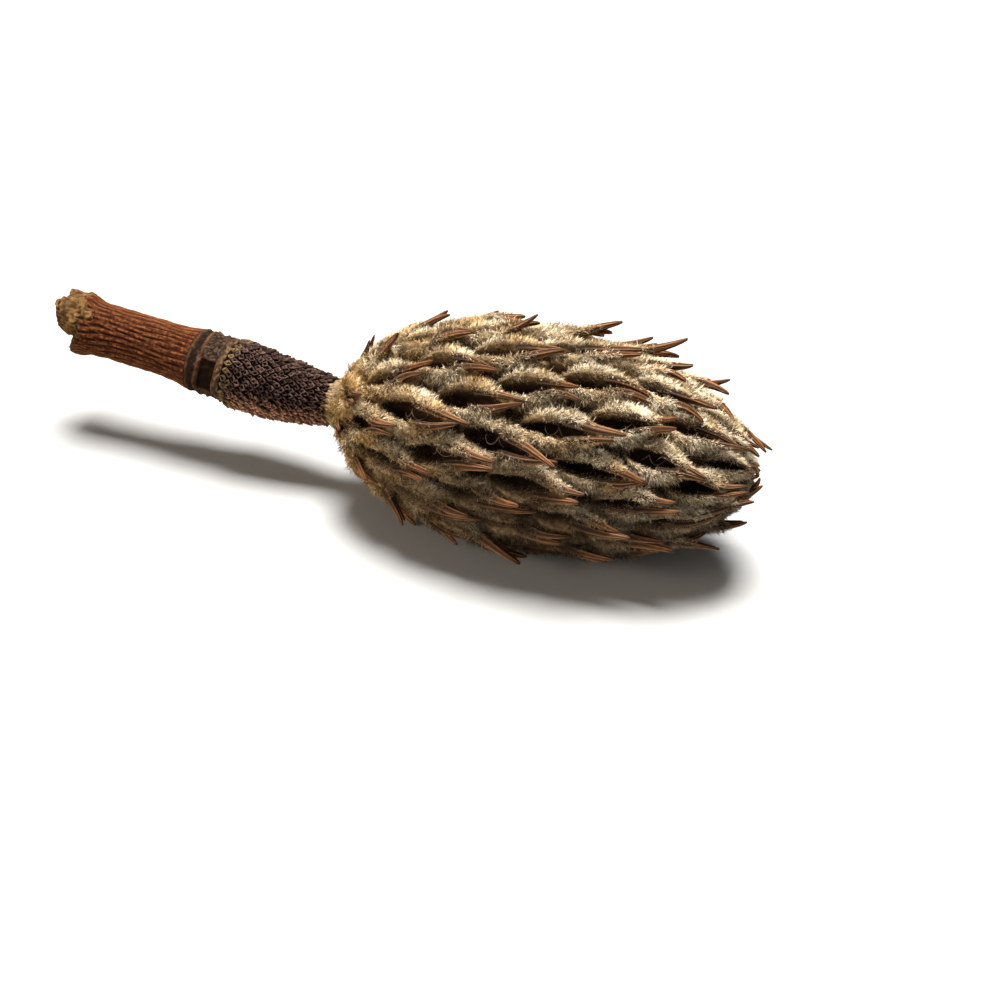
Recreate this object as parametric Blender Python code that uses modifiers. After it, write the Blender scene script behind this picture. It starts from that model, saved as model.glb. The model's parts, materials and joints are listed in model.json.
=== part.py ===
"""A dried magnolia seed pod on its snapped stalk, lying on its side.

Metres, +Z up. The pod lies on the plane z = 0, and the origin is there under the middle of
its box. +X runs along the pod, from the snapped end of the stalk to the tip of the cone.

The pod grows on one axis. In the pod's own frame that is X: the seed cone runs from its neck
at x = 0 to its tip at x = CONE_LENGTH, and the stalk lies behind the neck, bent upwards.
The empty POD_POSE turns that frame by REST_TILT and lifts it, so that the wool and the
follicles under the belly are pressed into a small flat spot on z = 0.
"""

import math
import random
from collections import namedtuple

import bmesh
import bpy
from mathutils import Matrix, Vector

# Seed cone: a full spindle, whose crest radius is CONE_RADIUS where it is thickest
CONE_LENGTH = 0.090
CONE_RADIUS = 0.0215
BELLY_SHIFT = 0.95
BLUNTNESS = 0.47
CORE_DEPTH = 0.0028
CORE_SIDES = 16
CORE_STATIONS = 10

# Follicles: one spiral, each turned by the golden angle from the one before it
FOLLICLE_COUNT = 98
GOLDEN_ANGLE = math.pi * (3 - math.sqrt(5))
FIRST_FOLLICLE = 0.028
LAST_FOLLICLE = 0.999
CROWDING = 0.35
TAPERING = 0.35
RESTING_FOLLICLE = 40
SEED = 11
LEAN_SPREAD = math.radians(9)
SIZE_SPREAD = 0.08

# One follicle at the belly: two lips round an open slit, drawn out to a beak
FOLLICLE_BACK = 0.0085
FOLLICLE_FRONT = 0.0060
FOLLICLE_HALF_WIDTH = 0.0041
LIP_HEIGHT = 0.0029
SLIT_HALF_WIDTH = 0.0015
SLIT_DEPTH = 0.0033
ROOT_DEPTH = 0.0022
BEAK_LENGTH = 0.0085
BEAK_RADIUS = 0.0010
BEAK_LIFT = math.radians(27)
BEAK_LIFT_SPREAD = math.radians(14)
KEPT_FACES = 0.72

# Stalk: scar zone, scar ring and peduncle, from the neck back to the snapped end
SCAR_ZONE_LENGTH = 0.0240
NECK_RADIUS = 0.0048
SCAR_ZONE_RADIUS = 0.0066
SCALES_ROUND = 18
SCALE_ROWS = 10
SCALE_HEIGHT = 0.0006
SCALE_SPIRAL = math.radians(40)
SCAR_RING_LENGTH = 0.0085
SCAR_RING_RADIUS = 0.0067
SCAR_RING_SIDES = 14
PEDUNCLE_LENGTH = 0.0290
PEDUNCLE_RADIUS = 0.0054
PEDUNCLE_FLARE = 0.0011
BARK_RIDGES = 18
RIDGE_HEIGHT = 0.0005
BARK_STATIONS = 14
STALK_BEND = math.radians(10)
NODE_GAP = 0.0003

# Snapped end of the stalk: a torn knob of wood that sticks out past the bark, on its upper side
KNOB_REACH = 0.0048
KNOB_SIZE = (0.0100, 0.0088, 0.0070)
KNOB_RISE = 0.0025
KNOB_ROUNDING = 0.0022

# How the pod lies
REST_TILT = math.radians(-3)
NECK_X = -0.01558
NECK_Y = -0.00158
AXIS_HEIGHT = 0.0186
PRESSED_FROM = 0.60
PRESSED_FULL = 0.90
CUTTER_SIZE = 0.4

Follicle = namedtuple("Follicle", "share angle lean lift size press")


def smooth_step(value, low, high):
    """0 below low, 1 above high, and an even rise between them."""
    part = min(max((value - low) / (high - low), 0.0), 1.0)
    return part * part * (3 - 2 * part)


def crest_radius(share):
    """Radius to the follicles' crests at this share of the cone's length."""
    swell = math.sin(math.pi * min(max(share, 0.0), 1.0) ** BELLY_SHIFT)
    return CONE_RADIUS * max(swell, 0.0) ** BLUNTNESS


def core_radius(share):
    """Radius of the woody core that the follicles stand on."""
    return crest_radius(share) * (1 - CORE_DEPTH / CONE_RADIUS)


def follicle_shares():
    """Each follicle's share of the cone's length, closest together where the cone is thick."""
    steps = 600
    span = LAST_FOLLICLE - FIRST_FOLLICLE
    places = [FIRST_FOLLICLE + span * (step + 0.5) / steps for step in range(steps)]
    weights = []
    for place in places:
        climb = crest_radius(place + span / steps) - crest_radius(place)
        surface_step = math.hypot(climb, CONE_LENGTH * span / steps)
        weights.append(surface_step * crest_radius(place) ** CROWDING)
    spacing = sum(weights) / FOLLICLE_COUNT
    shares = []
    passed = spacing / 2
    for place, weight in zip(places, weights):
        passed += weight
        if passed >= spacing:
            shares.append(place)
            passed -= spacing
    return shares


def follicles():
    """The whole spiral. Those that the pod's weight rests on are pressed shut and flat."""
    rng = random.Random(SEED)
    first_angle = -math.pi / 2 - RESTING_FOLLICLE * GOLDEN_ANGLE
    placed = []
    for index, share in enumerate(follicle_shares()):
        angle = first_angle + index * GOLDEN_ANGLE
        girth = crest_radius(share) / CONE_RADIUS
        press = smooth_step(-math.sin(angle) * girth, PRESSED_FROM, PRESSED_FULL)
        lean = rng.uniform(-LEAN_SPREAD, LEAN_SPREAD)
        lift = (BEAK_LIFT + rng.uniform(-BEAK_LIFT_SPREAD, BEAK_LIFT_SPREAD)) * (1 - press)
        size = girth**TAPERING * (1 + rng.uniform(-SIZE_SPREAD, SIZE_SPREAD))
        placed.append(Follicle(share, angle, lean, lift, size, press))
    return placed


def surface_frame(follicle):
    """Pod-frame matrix on the core: X towards the tip along the surface, Z outwards."""
    reach = 0.03
    behind = max(follicle.share - reach, 0.01)
    ahead = min(follicle.share + reach, 0.99)
    rise = (core_radius(ahead) - core_radius(behind)) / ((ahead - behind) * CONE_LENGTH)
    outward = Vector((0, math.cos(follicle.angle), math.sin(follicle.angle)))
    along = (Vector((1, 0, 0)) + outward * rise).normalized()
    normal = (outward - Vector((1, 0, 0)) * rise).normalized()
    frame = Matrix((along, normal.cross(along), normal)).transposed().to_4x4()
    frame.translation = Vector((follicle.share * CONE_LENGTH, 0, 0)) + outward * core_radius(follicle.share)
    return frame @ Matrix.Rotation(follicle.lean, 4, "Z") @ Matrix.Scale(follicle.size, 4)


def new_collection(name):
    collection = bpy.data.collections.new(name)
    bpy.context.scene.collection.children.link(collection)
    return collection


def new_material(name, colour, roughness):
    material = bpy.data.materials.new(name)
    material.use_nodes = True
    shader = material.node_tree.nodes["Principled BSDF"]
    shader.inputs["Base Color"].default_value = (*colour, 1)
    shader.inputs["Roughness"].default_value = roughness
    shader.inputs["Metallic"].default_value = 0.0
    return material


def object_from(bm, name, collection, material):
    """Turns a bmesh into an object of its own, and frees the bmesh."""
    mesh = bpy.data.meshes.new(name)
    bm.to_mesh(mesh)
    bm.free()
    mesh.materials.append(material)
    obj = bpy.data.objects.new(name, mesh)
    collection.objects.link(obj)
    return obj


def apply_modifiers(obj):
    """Replaces the object's mesh with the one that its modifiers make."""
    bpy.context.view_layer.update()
    graph = bpy.context.evaluated_depsgraph_get()
    mesh = bpy.data.meshes.new_from_object(obj.evaluated_get(graph))
    obj.modifiers.clear()
    obj.data = mesh


def face_outwards(obj):
    bm = bmesh.new()
    bm.from_mesh(obj.data)
    bmesh.ops.recalc_face_normals(bm, faces=bm.faces)
    bm.to_mesh(obj.data)
    bm.free()


def turned(name, profile, sides, collection, material):
    """A solid turned round X from (x, radius) points that start and end on the axis."""
    bm = bmesh.new()
    vertices = [bm.verts.new((x, 0, radius)) for x, radius in profile]
    for start, end in zip(vertices, vertices[1:]):
        bm.edges.new((start, end))
    solid = object_from(bm, name, collection, material)
    screw = solid.modifiers.new("turn", "SCREW")
    screw.axis = "X"
    screw.steps = sides
    screw.render_steps = sides
    screw.use_merge_vertices = True
    screw.merge_threshold = 0.00002
    apply_modifiers(solid)
    face_outwards(solid)
    return solid


def follicle_mesh(follicle, material):
    """One follicle in its own frame: six-sided sections from its root to the tip of its beak."""
    open_share = 1 - follicle.press
    width, lip, slit, depth = FOLLICLE_HALF_WIDTH, LIP_HEIGHT, SLIT_HALF_WIDTH, SLIT_DEPTH * open_share
    lips = (
        (-0.70 * FOLLICLE_BACK, 0.55 * width, 0.40 * lip, 0.35 * slit, 0.10 * depth),
        (-0.25 * FOLLICLE_BACK, 0.98 * width, 0.92 * lip, slit, depth),
        (0.42 * FOLLICLE_FRONT, 0.86 * width, lip, 0.92 * slit, 0.95 * depth),
        (FOLLICLE_FRONT, 0.48 * width, lip, 0.40 * slit, 0.25 * depth),
    )
    bm = bmesh.new()
    root = bm.verts.new((-FOLLICLE_BACK, 0, -0.4 * ROOT_DEPTH))
    sections = []
    for along, half_width, crest, slit_half, slit_depth in lips:
        sections.append((
            (along, 0, -ROOT_DEPTH),
            (along, half_width, -0.4 * ROOT_DEPTH),
            (along, slit_half + 0.25 * half_width, crest),
            (along, 0, crest - slit_depth),
            (along, -slit_half - 0.25 * half_width, crest),
            (along, -half_width, -0.4 * ROOT_DEPTH),
        ))
    direction = Vector((math.cos(follicle.lift), 0, math.sin(follicle.lift)))
    beak_root = Vector((FOLLICLE_FRONT, 0, 0.55 * lip))
    middle = beak_root + direction * 0.5 * BEAK_LENGTH
    upright = Vector((-direction.z, 0, direction.x))
    sections.append([
        middle + Vector((0, math.cos(turn), 0)) * BEAK_RADIUS + upright * math.sin(turn) * BEAK_RADIUS
        for turn in (-math.pi / 2, -math.pi / 6, math.pi / 6, math.pi / 2, 5 * math.pi / 6, 7 * math.pi / 6)
    ])
    tip = bm.verts.new(beak_root + direction * BEAK_LENGTH)
    rings = [[bm.verts.new(point) for point in section] for section in sections]
    for place in range(6):
        after = (place + 1) % 6
        bm.faces.new((root, rings[0][after], rings[0][place]))
        for near, far in zip(rings, rings[1:]):
            bm.faces.new((near[place], near[after], far[after], far[place]))
        bm.faces.new((rings[-1][place], rings[-1][after], tip))
    bmesh.ops.triangulate(bm, faces=bm.faces)
    bmesh.ops.recalc_face_normals(bm, faces=bm.faces)
    mesh = bpy.data.meshes.new("follicle")
    bm.to_mesh(mesh)
    bm.free()
    mesh.materials.append(material)
    return mesh


def drop_loose_shells(obj):
    """Keeps the outer skin, and drops the hollows and scraps that fusing left."""
    bm = bmesh.new()
    bm.from_mesh(obj.data)
    unseen = set(bm.verts)
    shells = []
    while unseen:
        front = [unseen.pop()]
        shell = list(front)
        while front:
            vertex = front.pop()
            for edge in vertex.link_edges:
                other = edge.other_vert(vertex)
                if other in unseen:
                    unseen.remove(other)
                    front.append(other)
                    shell.append(other)
        shells.append(shell)
    shells.sort(key=len)
    for shell in shells[:-1]:
        bmesh.ops.delete(bm, geom=shell, context="VERTS")
    bm.to_mesh(obj.data)
    bm.free()


def make_seed_cone(collection, material):
    """The core with every follicle fused to it by one union."""
    profile = [(0, 0), (0, 0.85 * NECK_RADIUS)]
    for station in range(1, CORE_STATIONS):
        share = 0.5 - 0.5 * math.cos(math.pi * station / CORE_STATIONS)
        profile.append((share * CONE_LENGTH, core_radius(share)))
    profile.append((CONE_LENGTH, 0))
    cone = turned("seed_cone", profile, CORE_SIDES, collection, material)
    growth = new_collection("follicles_to_fuse")
    for follicle in follicles():
        piece = bpy.data.objects.new("follicle", follicle_mesh(follicle, material))
        piece.matrix_world = surface_frame(follicle)
        growth.objects.link(piece)
    union = cone.modifiers.new("fuse_follicles", "BOOLEAN")
    union.operation = "UNION"
    union.operand_type = "COLLECTION"
    union.collection = growth
    union.solver = "MANIFOLD"
    thinning = cone.modifiers.new("fewer_faces", "DECIMATE")
    thinning.ratio = KEPT_FACES
    apply_modifiers(cone)
    for piece in list(growth.objects):
        bpy.data.objects.remove(piece)
    bpy.data.collections.remove(growth)
    return cone


def cut_with_box(cone, name, location, parent, cutters):
    """Takes off what reaches into a large box, whose object is kept as a hidden cutter."""
    bm = bmesh.new()
    bmesh.ops.create_cube(bm, size=CUTTER_SIZE)
    box = object_from(bm, name, cutters, cone.data.materials[0])
    box.location = location
    box.parent = parent
    box.hide_render = True
    box.display_type = "WIRE"
    cut = cone.modifiers.new(name, "BOOLEAN")
    cut.operation = "DIFFERENCE"
    cut.object = box
    cut.solver = "MANIFOLD"


def trim_cone(cone, pose, cutters):
    """Presses the belly flat on z = 0, and ends the wool squarely at the neck."""
    cut_with_box(cone, "below_surface", (0, 0, -CUTTER_SIZE / 2), None, cutters)
    cut_with_box(cone, "behind_neck", (-CUTTER_SIZE / 2, 0, 0), pose, cutters)
    apply_modifiers(cone)
    drop_loose_shells(cone)


def bend_stalk(obj):
    """Bends a straight stalk piece upwards: the turn builds up along the scar zone."""
    for vertex in obj.data.vertices:
        back = -vertex.co.x
        steps = 24
        place = Vector((0, 0, 0))
        turn = 0.0
        for step in range(steps):
            turn = STALK_BEND * smooth_step(back * (step + 0.5) / steps, 0, SCAR_ZONE_LENGTH)
            place += Vector((-math.cos(turn), 0, math.sin(turn))) * back / steps
        turn = STALK_BEND * smooth_step(back, 0, SCAR_ZONE_LENGTH)
        up = Vector((math.sin(turn), 0, math.cos(turn)))
        vertex.co = place + up * vertex.co.z + Vector((0, vertex.co.y, 0))


def scar_zone_radius(back):
    """Radius of the scar zone at this distance behind the neck."""
    share = min(max(back / SCAR_ZONE_LENGTH, 0.0), 1.0)
    return NECK_RADIUS + (SCAR_ZONE_RADIUS - NECK_RADIUS) * math.sin(math.pi / 2 * share**0.8)


def make_scar_zone(collection, material):
    """The stamens' scars: a close spiral of small pointed scales, every second vertex raised."""
    rows = 2 * SCALE_ROWS
    start, end = NODE_GAP, SCAR_ZONE_LENGTH - NODE_GAP
    profile = [(-start, 0)]
    for row in range(rows + 1):
        back = start + (end - start) * row / rows
        profile.append((-back, scar_zone_radius(back)))
    profile.append((-end, 0))
    zone = turned("scar_zone", profile, 2 * SCALES_ROUND, collection, material)
    bm = bmesh.new()
    bm.from_mesh(zone.data)
    valleys = set()
    for vertex in bm.verts:
        radius = math.hypot(vertex.co.y, vertex.co.z)
        if radius < 0.001:
            continue
        row = round((-vertex.co.x - start) / (end - start) * rows)
        angle = math.atan2(vertex.co.z, vertex.co.y)
        column = round(angle / (math.pi / SCALES_ROUND))
        raised = (row + column) % 2 == 0 and 0 < row < rows
        if not raised:
            valleys.add(vertex)
        grown = radius + SCALE_HEIGHT * raised
        turn = angle + SCALE_SPIRAL * row / rows
        vertex.co.y, vertex.co.z = grown * math.cos(turn), grown * math.sin(turn)
    for face in [face for face in bm.faces if len(face.verts) == 4]:
        low = [vertex for vertex in face.verts if vertex in valleys]
        if len(low) == 2:
            bmesh.utils.face_split(face, low[0], low[1])
    bm.to_mesh(zone.data)
    bm.free()
    bend_stalk(zone)
    return zone


def make_scar_ring(collection, material):
    """The swollen ring that the petals left: bevelled facets between two narrow collars."""
    start, end = SCAR_ZONE_LENGTH, SCAR_ZONE_LENGTH + SCAR_RING_LENGTH
    length = end - start
    profile = (
        (-start - NODE_GAP, 0),
        (-start - NODE_GAP, 0.97 * SCAR_RING_RADIUS),
        (-start - 0.12 * length, 1.04 * SCAR_RING_RADIUS),
        (-start - 0.20 * length, 0.98 * SCAR_RING_RADIUS),
        (-start - 0.62 * length, 0.97 * SCAR_RING_RADIUS),
        (-start - 0.72 * length, 1.04 * SCAR_RING_RADIUS),
        (-start - 0.82 * length, 0.94 * SCAR_RING_RADIUS),
        (-end + NODE_GAP, 0.98 * SCAR_RING_RADIUS),
        (-end + NODE_GAP, 0),
    )
    ring = turned("scar_ring", profile, SCAR_RING_SIDES, collection, material)
    bend_stalk(ring)
    return ring


def peduncle_radius(back):
    """Radius under the bark's ridges, this far behind the scar ring: flared at both ends."""
    share = min(max(back / PEDUNCLE_LENGTH, 0.0), 1.0)
    ring_end = math.exp(-share / 0.12)
    snapped_end = math.exp((share - 1) / 0.16)
    return PEDUNCLE_RADIUS + PEDUNCLE_FLARE * (ring_end + 0.45 * snapped_end)


def make_peduncle(collection, material):
    """The bark's long wavy ridges, and the torn knob at the snapped end."""
    ring_end = SCAR_ZONE_LENGTH + SCAR_RING_LENGTH
    profile = [(-ring_end - NODE_GAP, 0)]
    for station in range(BARK_STATIONS + 1):
        back = NODE_GAP + (PEDUNCLE_LENGTH - NODE_GAP) * station / BARK_STATIONS
        profile.append((-ring_end - back, peduncle_radius(back)))
    profile.append((-ring_end - PEDUNCLE_LENGTH, 0))
    stalk = turned("peduncle", profile, 2 * BARK_RIDGES, collection, material)
    for vertex in stalk.data.vertices:
        radius = math.hypot(vertex.co.y, vertex.co.z)
        if radius < 0.001:
            continue
        back = -vertex.co.x - ring_end
        angle = math.atan2(vertex.co.z, vertex.co.y)
        column = round(angle / (math.pi / BARK_RIDGES))
        raised = RIDGE_HEIGHT * (column % 2) * (0.7 + 0.3 * math.sin(5 * column + 900 * back))
        wander = math.radians(4) * math.sin(2.3 * column + 420 * back)
        grown = radius + raised
        vertex.co.y, vertex.co.z = grown * math.cos(angle + wander), grown * math.sin(angle + wander)
    bm = bmesh.new()
    bmesh.ops.create_cube(bm, size=1, matrix=Matrix.Diagonal((*KNOB_SIZE, 1)))
    knob = object_from(bm, "torn_knob", collection, material)
    rounding = knob.modifiers.new("round", "BEVEL")
    rounding.width = KNOB_ROUNDING
    rounding.segments = 3
    apply_modifiers(knob)
    sunk = KNOB_SIZE[0] / 2 - KNOB_REACH
    knob.location = (-ring_end - PEDUNCLE_LENGTH + sunk, 0, KNOB_RISE)
    union = stalk.modifiers.new("join_knob", "BOOLEAN")
    union.operation = "UNION"
    union.object = knob
    apply_modifiers(stalk)
    bpy.data.objects.remove(knob)
    bend_stalk(stalk)
    return stalk


def main():
    for obj in list(bpy.data.objects):
        bpy.data.objects.remove(obj)
    parts = new_collection("magnolia_seed_pod")
    cutters = new_collection("cutters")
    wool = new_material("tan_wool", (0.42, 0.33, 0.21), 0.95)
    scales = new_material("dark_scales", (0.055, 0.032, 0.034), 0.70)
    grey_bark = new_material("grey_brown_bark", (0.115, 0.085, 0.058), 0.80)
    orange_bark = new_material("orange_bark", (0.340, 0.110, 0.045), 0.75)

    pose = bpy.data.objects.new("POD_POSE", None)
    parts.objects.link(pose)
    pose.location = (NECK_X, NECK_Y, AXIS_HEIGHT)
    pose.rotation_euler = (0, REST_TILT, 0)

    cone = make_seed_cone(parts, wool)
    pieces = (
        cone,
        make_scar_zone(parts, scales),
        make_scar_ring(parts, grey_bark),
        make_peduncle(parts, orange_bark),
    )
    for piece in pieces:
        piece.parent = pose
    trim_cone(cone, pose, cutters)


main()
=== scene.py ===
# %% [markdown]
# # A dried magnolia seed pod
# This lesson dresses a plain model of a magnolia's seed pod: a woolly cone of open follicles with
# woody beaks, on a dark scaly neck and a snapped orange-brown stalk. The plain model gives every
# size and place. Here each piece gets its real surface, made from primitives and a few rules.

# %% Load the frame
import json
import math
import random
from collections import namedtuple

import bmesh
import bpy
import numpy as np
from mathutils import Matrix, Vector, kdtree

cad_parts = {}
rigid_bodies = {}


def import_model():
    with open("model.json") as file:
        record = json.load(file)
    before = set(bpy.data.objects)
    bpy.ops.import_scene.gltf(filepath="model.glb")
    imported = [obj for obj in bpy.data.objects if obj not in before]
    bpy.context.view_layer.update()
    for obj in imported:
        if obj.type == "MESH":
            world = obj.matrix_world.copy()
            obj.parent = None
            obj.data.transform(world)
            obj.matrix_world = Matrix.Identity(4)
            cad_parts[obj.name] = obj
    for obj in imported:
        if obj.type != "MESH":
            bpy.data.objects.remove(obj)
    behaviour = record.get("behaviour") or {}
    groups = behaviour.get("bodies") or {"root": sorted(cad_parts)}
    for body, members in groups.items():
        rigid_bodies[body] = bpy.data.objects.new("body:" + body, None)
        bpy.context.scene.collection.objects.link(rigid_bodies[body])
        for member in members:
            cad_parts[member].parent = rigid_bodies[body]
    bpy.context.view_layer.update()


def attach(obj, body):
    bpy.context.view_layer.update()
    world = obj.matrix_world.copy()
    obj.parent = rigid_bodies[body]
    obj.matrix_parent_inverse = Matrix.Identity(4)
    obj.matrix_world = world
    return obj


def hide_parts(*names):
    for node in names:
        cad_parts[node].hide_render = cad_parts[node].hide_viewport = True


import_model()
bpy.ops.object.select_all(action="DESELECT")

# %% [markdown]
# ## The driving sizes
# The pod grows on one axis. In its own frame that is X: the neck is at x = 0, the tip of the cone
# at x = CONE_LENGTH, and the stalk lies behind, bent upwards. POD_POSE turns that frame and lifts
# it on to the table. These are the values and rules of the plain model, so that what is made here
# comes out in the same places.

# %% Sizes, in metres
CONE_LENGTH = 0.090
CONE_RADIUS = 0.0215
BELLY_SHIFT = 0.95
BLUNTNESS = 0.47
CORE_DEPTH = 0.0028
FOLLICLE_COUNT = 98
GOLDEN_ANGLE = math.pi * (3 - math.sqrt(5))
FIRST_FOLLICLE = 0.028
LAST_FOLLICLE = 0.999
CROWDING = 0.35
TAPERING = 0.35
RESTING_FOLLICLE = 40
SEED = 11
LEAN_SPREAD = math.radians(9)
SIZE_SPREAD = 0.08
FOLLICLE_FRONT = 0.0060
LIP_HEIGHT = 0.0029
BEAK_LENGTH = 0.0085
BEAK_LIFT = math.radians(27)
BEAK_LIFT_SPREAD = math.radians(14)
SCAR_ZONE_LENGTH = 0.0240
NECK_RADIUS = 0.0048
SCAR_ZONE_RADIUS = 0.0066
SCAR_RING_LENGTH = 0.0085
SCAR_RING_RADIUS = 0.0067
RING_END = SCAR_ZONE_LENGTH + SCAR_RING_LENGTH
PEDUNCLE_LENGTH = 0.0290
PEDUNCLE_RADIUS = 0.0054
PEDUNCLE_FLARE = 0.0011
STALK_BEND = math.radians(10)
STALK_BOW = 0.0011
NODE_GAP = 0.0003
KNOB_REACH = 0.0048
KNOB_SIZE = (0.0100, 0.0088, 0.0070)
KNOB_RISE = 0.0025
PRESSED_FROM = 0.60
PRESSED_FULL = 0.90
POD_POSE = Matrix.Translation((-0.01558, -0.00158, 0.0186)) @ Matrix.Rotation(math.radians(-3), 4, "Y")
POD_AXIS = np.array(POD_POSE.to_3x3() @ Vector((1, 0, 0)))
LOWEST = 0.0001

Follicle = namedtuple("Follicle", "share angle lean lift size press")

# %% [markdown]
# ## Camera, light and table
# The camera looks down on the pod a little from its tip's side, as the photograph does. A soft
# light from high above gives the wool its pale upper side and leaves the belly dark, and a weak
# warm one, low on the stalk's side, lifts the bark out of its own shadow. The table is a plain
# pale floor, which isn't part of the pod. It is wide, and the lights stand far off, so that it
# looks evenly lit from every side.

# %% Camera
CAMERA_AIM = Vector((0.0223, -0.0022, 0.0042))
CAMERA_AZIMUTH = math.radians(23.0)
CAMERA_ELEVATION = math.radians(34.0)
CAMERA_DISTANCE = 0.490
CAMERA_LENS = 85


def add_camera():
    """A long lens, placed by its two angles round the point it aims at."""
    across = math.cos(CAMERA_ELEVATION)
    back = Vector((
        math.sin(CAMERA_AZIMUTH) * across,
        -math.cos(CAMERA_AZIMUTH) * across,
        math.sin(CAMERA_ELEVATION),
    ))
    data = bpy.data.cameras.new("camera")
    data.lens = CAMERA_LENS
    data.clip_start = 0.01
    camera = bpy.data.objects.new("camera", data)
    bpy.context.scene.collection.objects.link(camera)
    camera.location = CAMERA_AIM + back * CAMERA_DISTANCE
    camera.rotation_euler = (-back).to_track_quat("-Z", "Y").to_euler()
    bpy.context.scene.camera = camera
    return camera


print("camera at", [round(value, 4) for value in add_camera().location])

# %% Lights and table
FLOOR_SIZE = 8.0
FLOOR_COLOUR = (0.34, 0.34, 0.34, 1)
WORLD_LIGHT = 0.12


def add_light(name, place, size, power, colour):
    """A square soft light at a place, aimed at the pod."""
    data = bpy.data.lights.new(name, "AREA")
    data.size = size
    data.energy = power
    data.color = colour
    light = bpy.data.objects.new(name, data)
    bpy.context.scene.collection.objects.link(light)
    light.location = place
    light.rotation_euler = (CAMERA_AIM - light.location).to_track_quat("-Z", "Y").to_euler()
    return light


def add_table():
    """The pale floor that the pod lies on."""
    bpy.ops.mesh.primitive_plane_add(size=FLOOR_SIZE)
    floor = bpy.context.object
    floor.name = "floor"
    material = bpy.data.materials.new("pale_floor")
    material.use_nodes = True
    shader = material.node_tree.nodes["Principled BSDF"]
    shader.inputs["Base Color"].default_value = FLOOR_COLOUR
    shader.inputs["Roughness"].default_value = 0.9
    floor.data.materials.append(material)


def add_world():
    """White to look at, but dim as a light, so that the belly of the pod stays dark."""
    world = bpy.data.worlds.new("studio")
    world.use_nodes = True
    nodes = world.node_tree.nodes
    sight = nodes.new("ShaderNodeLightPath")
    strength = nodes.new("ShaderNodeMapRange")
    strength.inputs["To Min"].default_value = WORLD_LIGHT
    strength.inputs["To Max"].default_value = 1.0
    world.node_tree.links.new(sight.outputs["Is Camera Ray"], strength.inputs["Value"])
    world.node_tree.links.new(strength.outputs["Result"], nodes["Background"].inputs["Strength"])
    nodes["Background"].inputs["Color"].default_value = (1, 1, 1, 1)
    bpy.context.scene.world = world


add_light("key", (-0.03, 0.41, 2.23), 1.04, 208.0, (1.0, 0.985, 0.955))
add_light("fill", (0.70, -1.65, 1.34), 1.80, 2.7, (1.0, 0.96, 0.90))
add_light("low_fill", (-1.18, -0.90, 0.41), 0.60, 19.0, (1.0, 0.86, 0.70))
add_table()
add_world()
bpy.context.scene.view_settings.view_transform = "Standard"

# %% [markdown]
# ## The rule of the follicles
# Follicles sit on one spiral, each turned by the golden angle from the one before it, as leaves
# and scales do on most plants. The cone's outline is a formula, and the spacing along it comes
# from the surface that each follicle covers. Follicles under the belly are pressed shut.

# %% Outline, spiral and a frame for each follicle


def smooth_step(value, low, high):
    """0 below low, 1 above high, and a smooth rise between."""
    part = np.clip((value - low) / (high - low), 0.0, 1.0)
    return part * part * (3 - 2 * part)


def crest_radius(share):
    """Radius over the lips' crests, at this share of the cone's length."""
    swell = math.sin(math.pi * min(max(share, 0.0), 1.0) ** BELLY_SHIFT)
    return CONE_RADIUS * max(swell, 0.0) ** BLUNTNESS


def core_radius(share):
    """Radius of the woody core that the follicles stand on."""
    return crest_radius(share) * (1 - CORE_DEPTH / CONE_RADIUS)


def follicle_shares():
    """Places along the cone, each with as much surface as the next."""
    steps = 600
    span = LAST_FOLLICLE - FIRST_FOLLICLE
    places = [FIRST_FOLLICLE + span * (step + 0.5) / steps for step in range(steps)]
    weights = []
    for place in places:
        climb = crest_radius(place + span / steps) - crest_radius(place)
        surface_step = math.hypot(climb, CONE_LENGTH * span / steps)
        weights.append(surface_step * crest_radius(place) ** CROWDING)
    spacing = sum(weights) / FOLLICLE_COUNT
    shares = []
    passed = spacing / 2
    for place, weight in zip(places, weights):
        passed += weight
        if passed >= spacing:
            shares.append(place)
            passed -= spacing
    return shares


def follicles():
    """Every follicle of the spiral, with its own lean, lift and size."""
    rng = random.Random(SEED)
    first_angle = -math.pi / 2 - RESTING_FOLLICLE * GOLDEN_ANGLE
    placed = []
    for index, share in enumerate(follicle_shares()):
        angle = first_angle + index * GOLDEN_ANGLE
        girth = crest_radius(share) / CONE_RADIUS
        press = float(smooth_step(-math.sin(angle) * girth, PRESSED_FROM, PRESSED_FULL))
        lean = rng.uniform(-LEAN_SPREAD, LEAN_SPREAD)
        lift = (BEAK_LIFT + rng.uniform(-BEAK_LIFT_SPREAD, BEAK_LIFT_SPREAD)) * (1 - press)
        size = girth**TAPERING * (1 + rng.uniform(-SIZE_SPREAD, SIZE_SPREAD))
        placed.append(Follicle(share, angle, lean, lift, size, press))
    return placed


def surface_frame(follicle):
    """The follicle's own frame: X towards the tip along the surface, Z outwards."""
    reach = 0.03
    behind = max(follicle.share - reach, 0.01)
    ahead = min(follicle.share + reach, 0.99)
    rise = (core_radius(ahead) - core_radius(behind)) / ((ahead - behind) * CONE_LENGTH)
    outward = Vector((0, math.cos(follicle.angle), math.sin(follicle.angle)))
    along = (Vector((1, 0, 0)) + outward * rise).normalized()
    normal = (outward - Vector((1, 0, 0)) * rise).normalized()
    own = Matrix((along, normal.cross(along), normal)).transposed().to_4x4()
    place = outward * core_radius(follicle.share)
    own.translation = Vector((follicle.share * CONE_LENGTH, 0, 0)) + place
    own = own @ Matrix.Rotation(follicle.lean, 4, "Z") @ Matrix.Scale(follicle.size, 4)
    return POD_POSE @ own


pod = follicles()
print("follicles:", len(pod), "pressed shut:", sum(follicle.press > 0.5 for follicle in pod))

# %% [markdown]
# ## Small tools for meshes
# Points are moved many at a time with numpy, which is much faster than one by one. What repeats
# is modelled once, and its copies are joined in one mesh, each with its own points.

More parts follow.
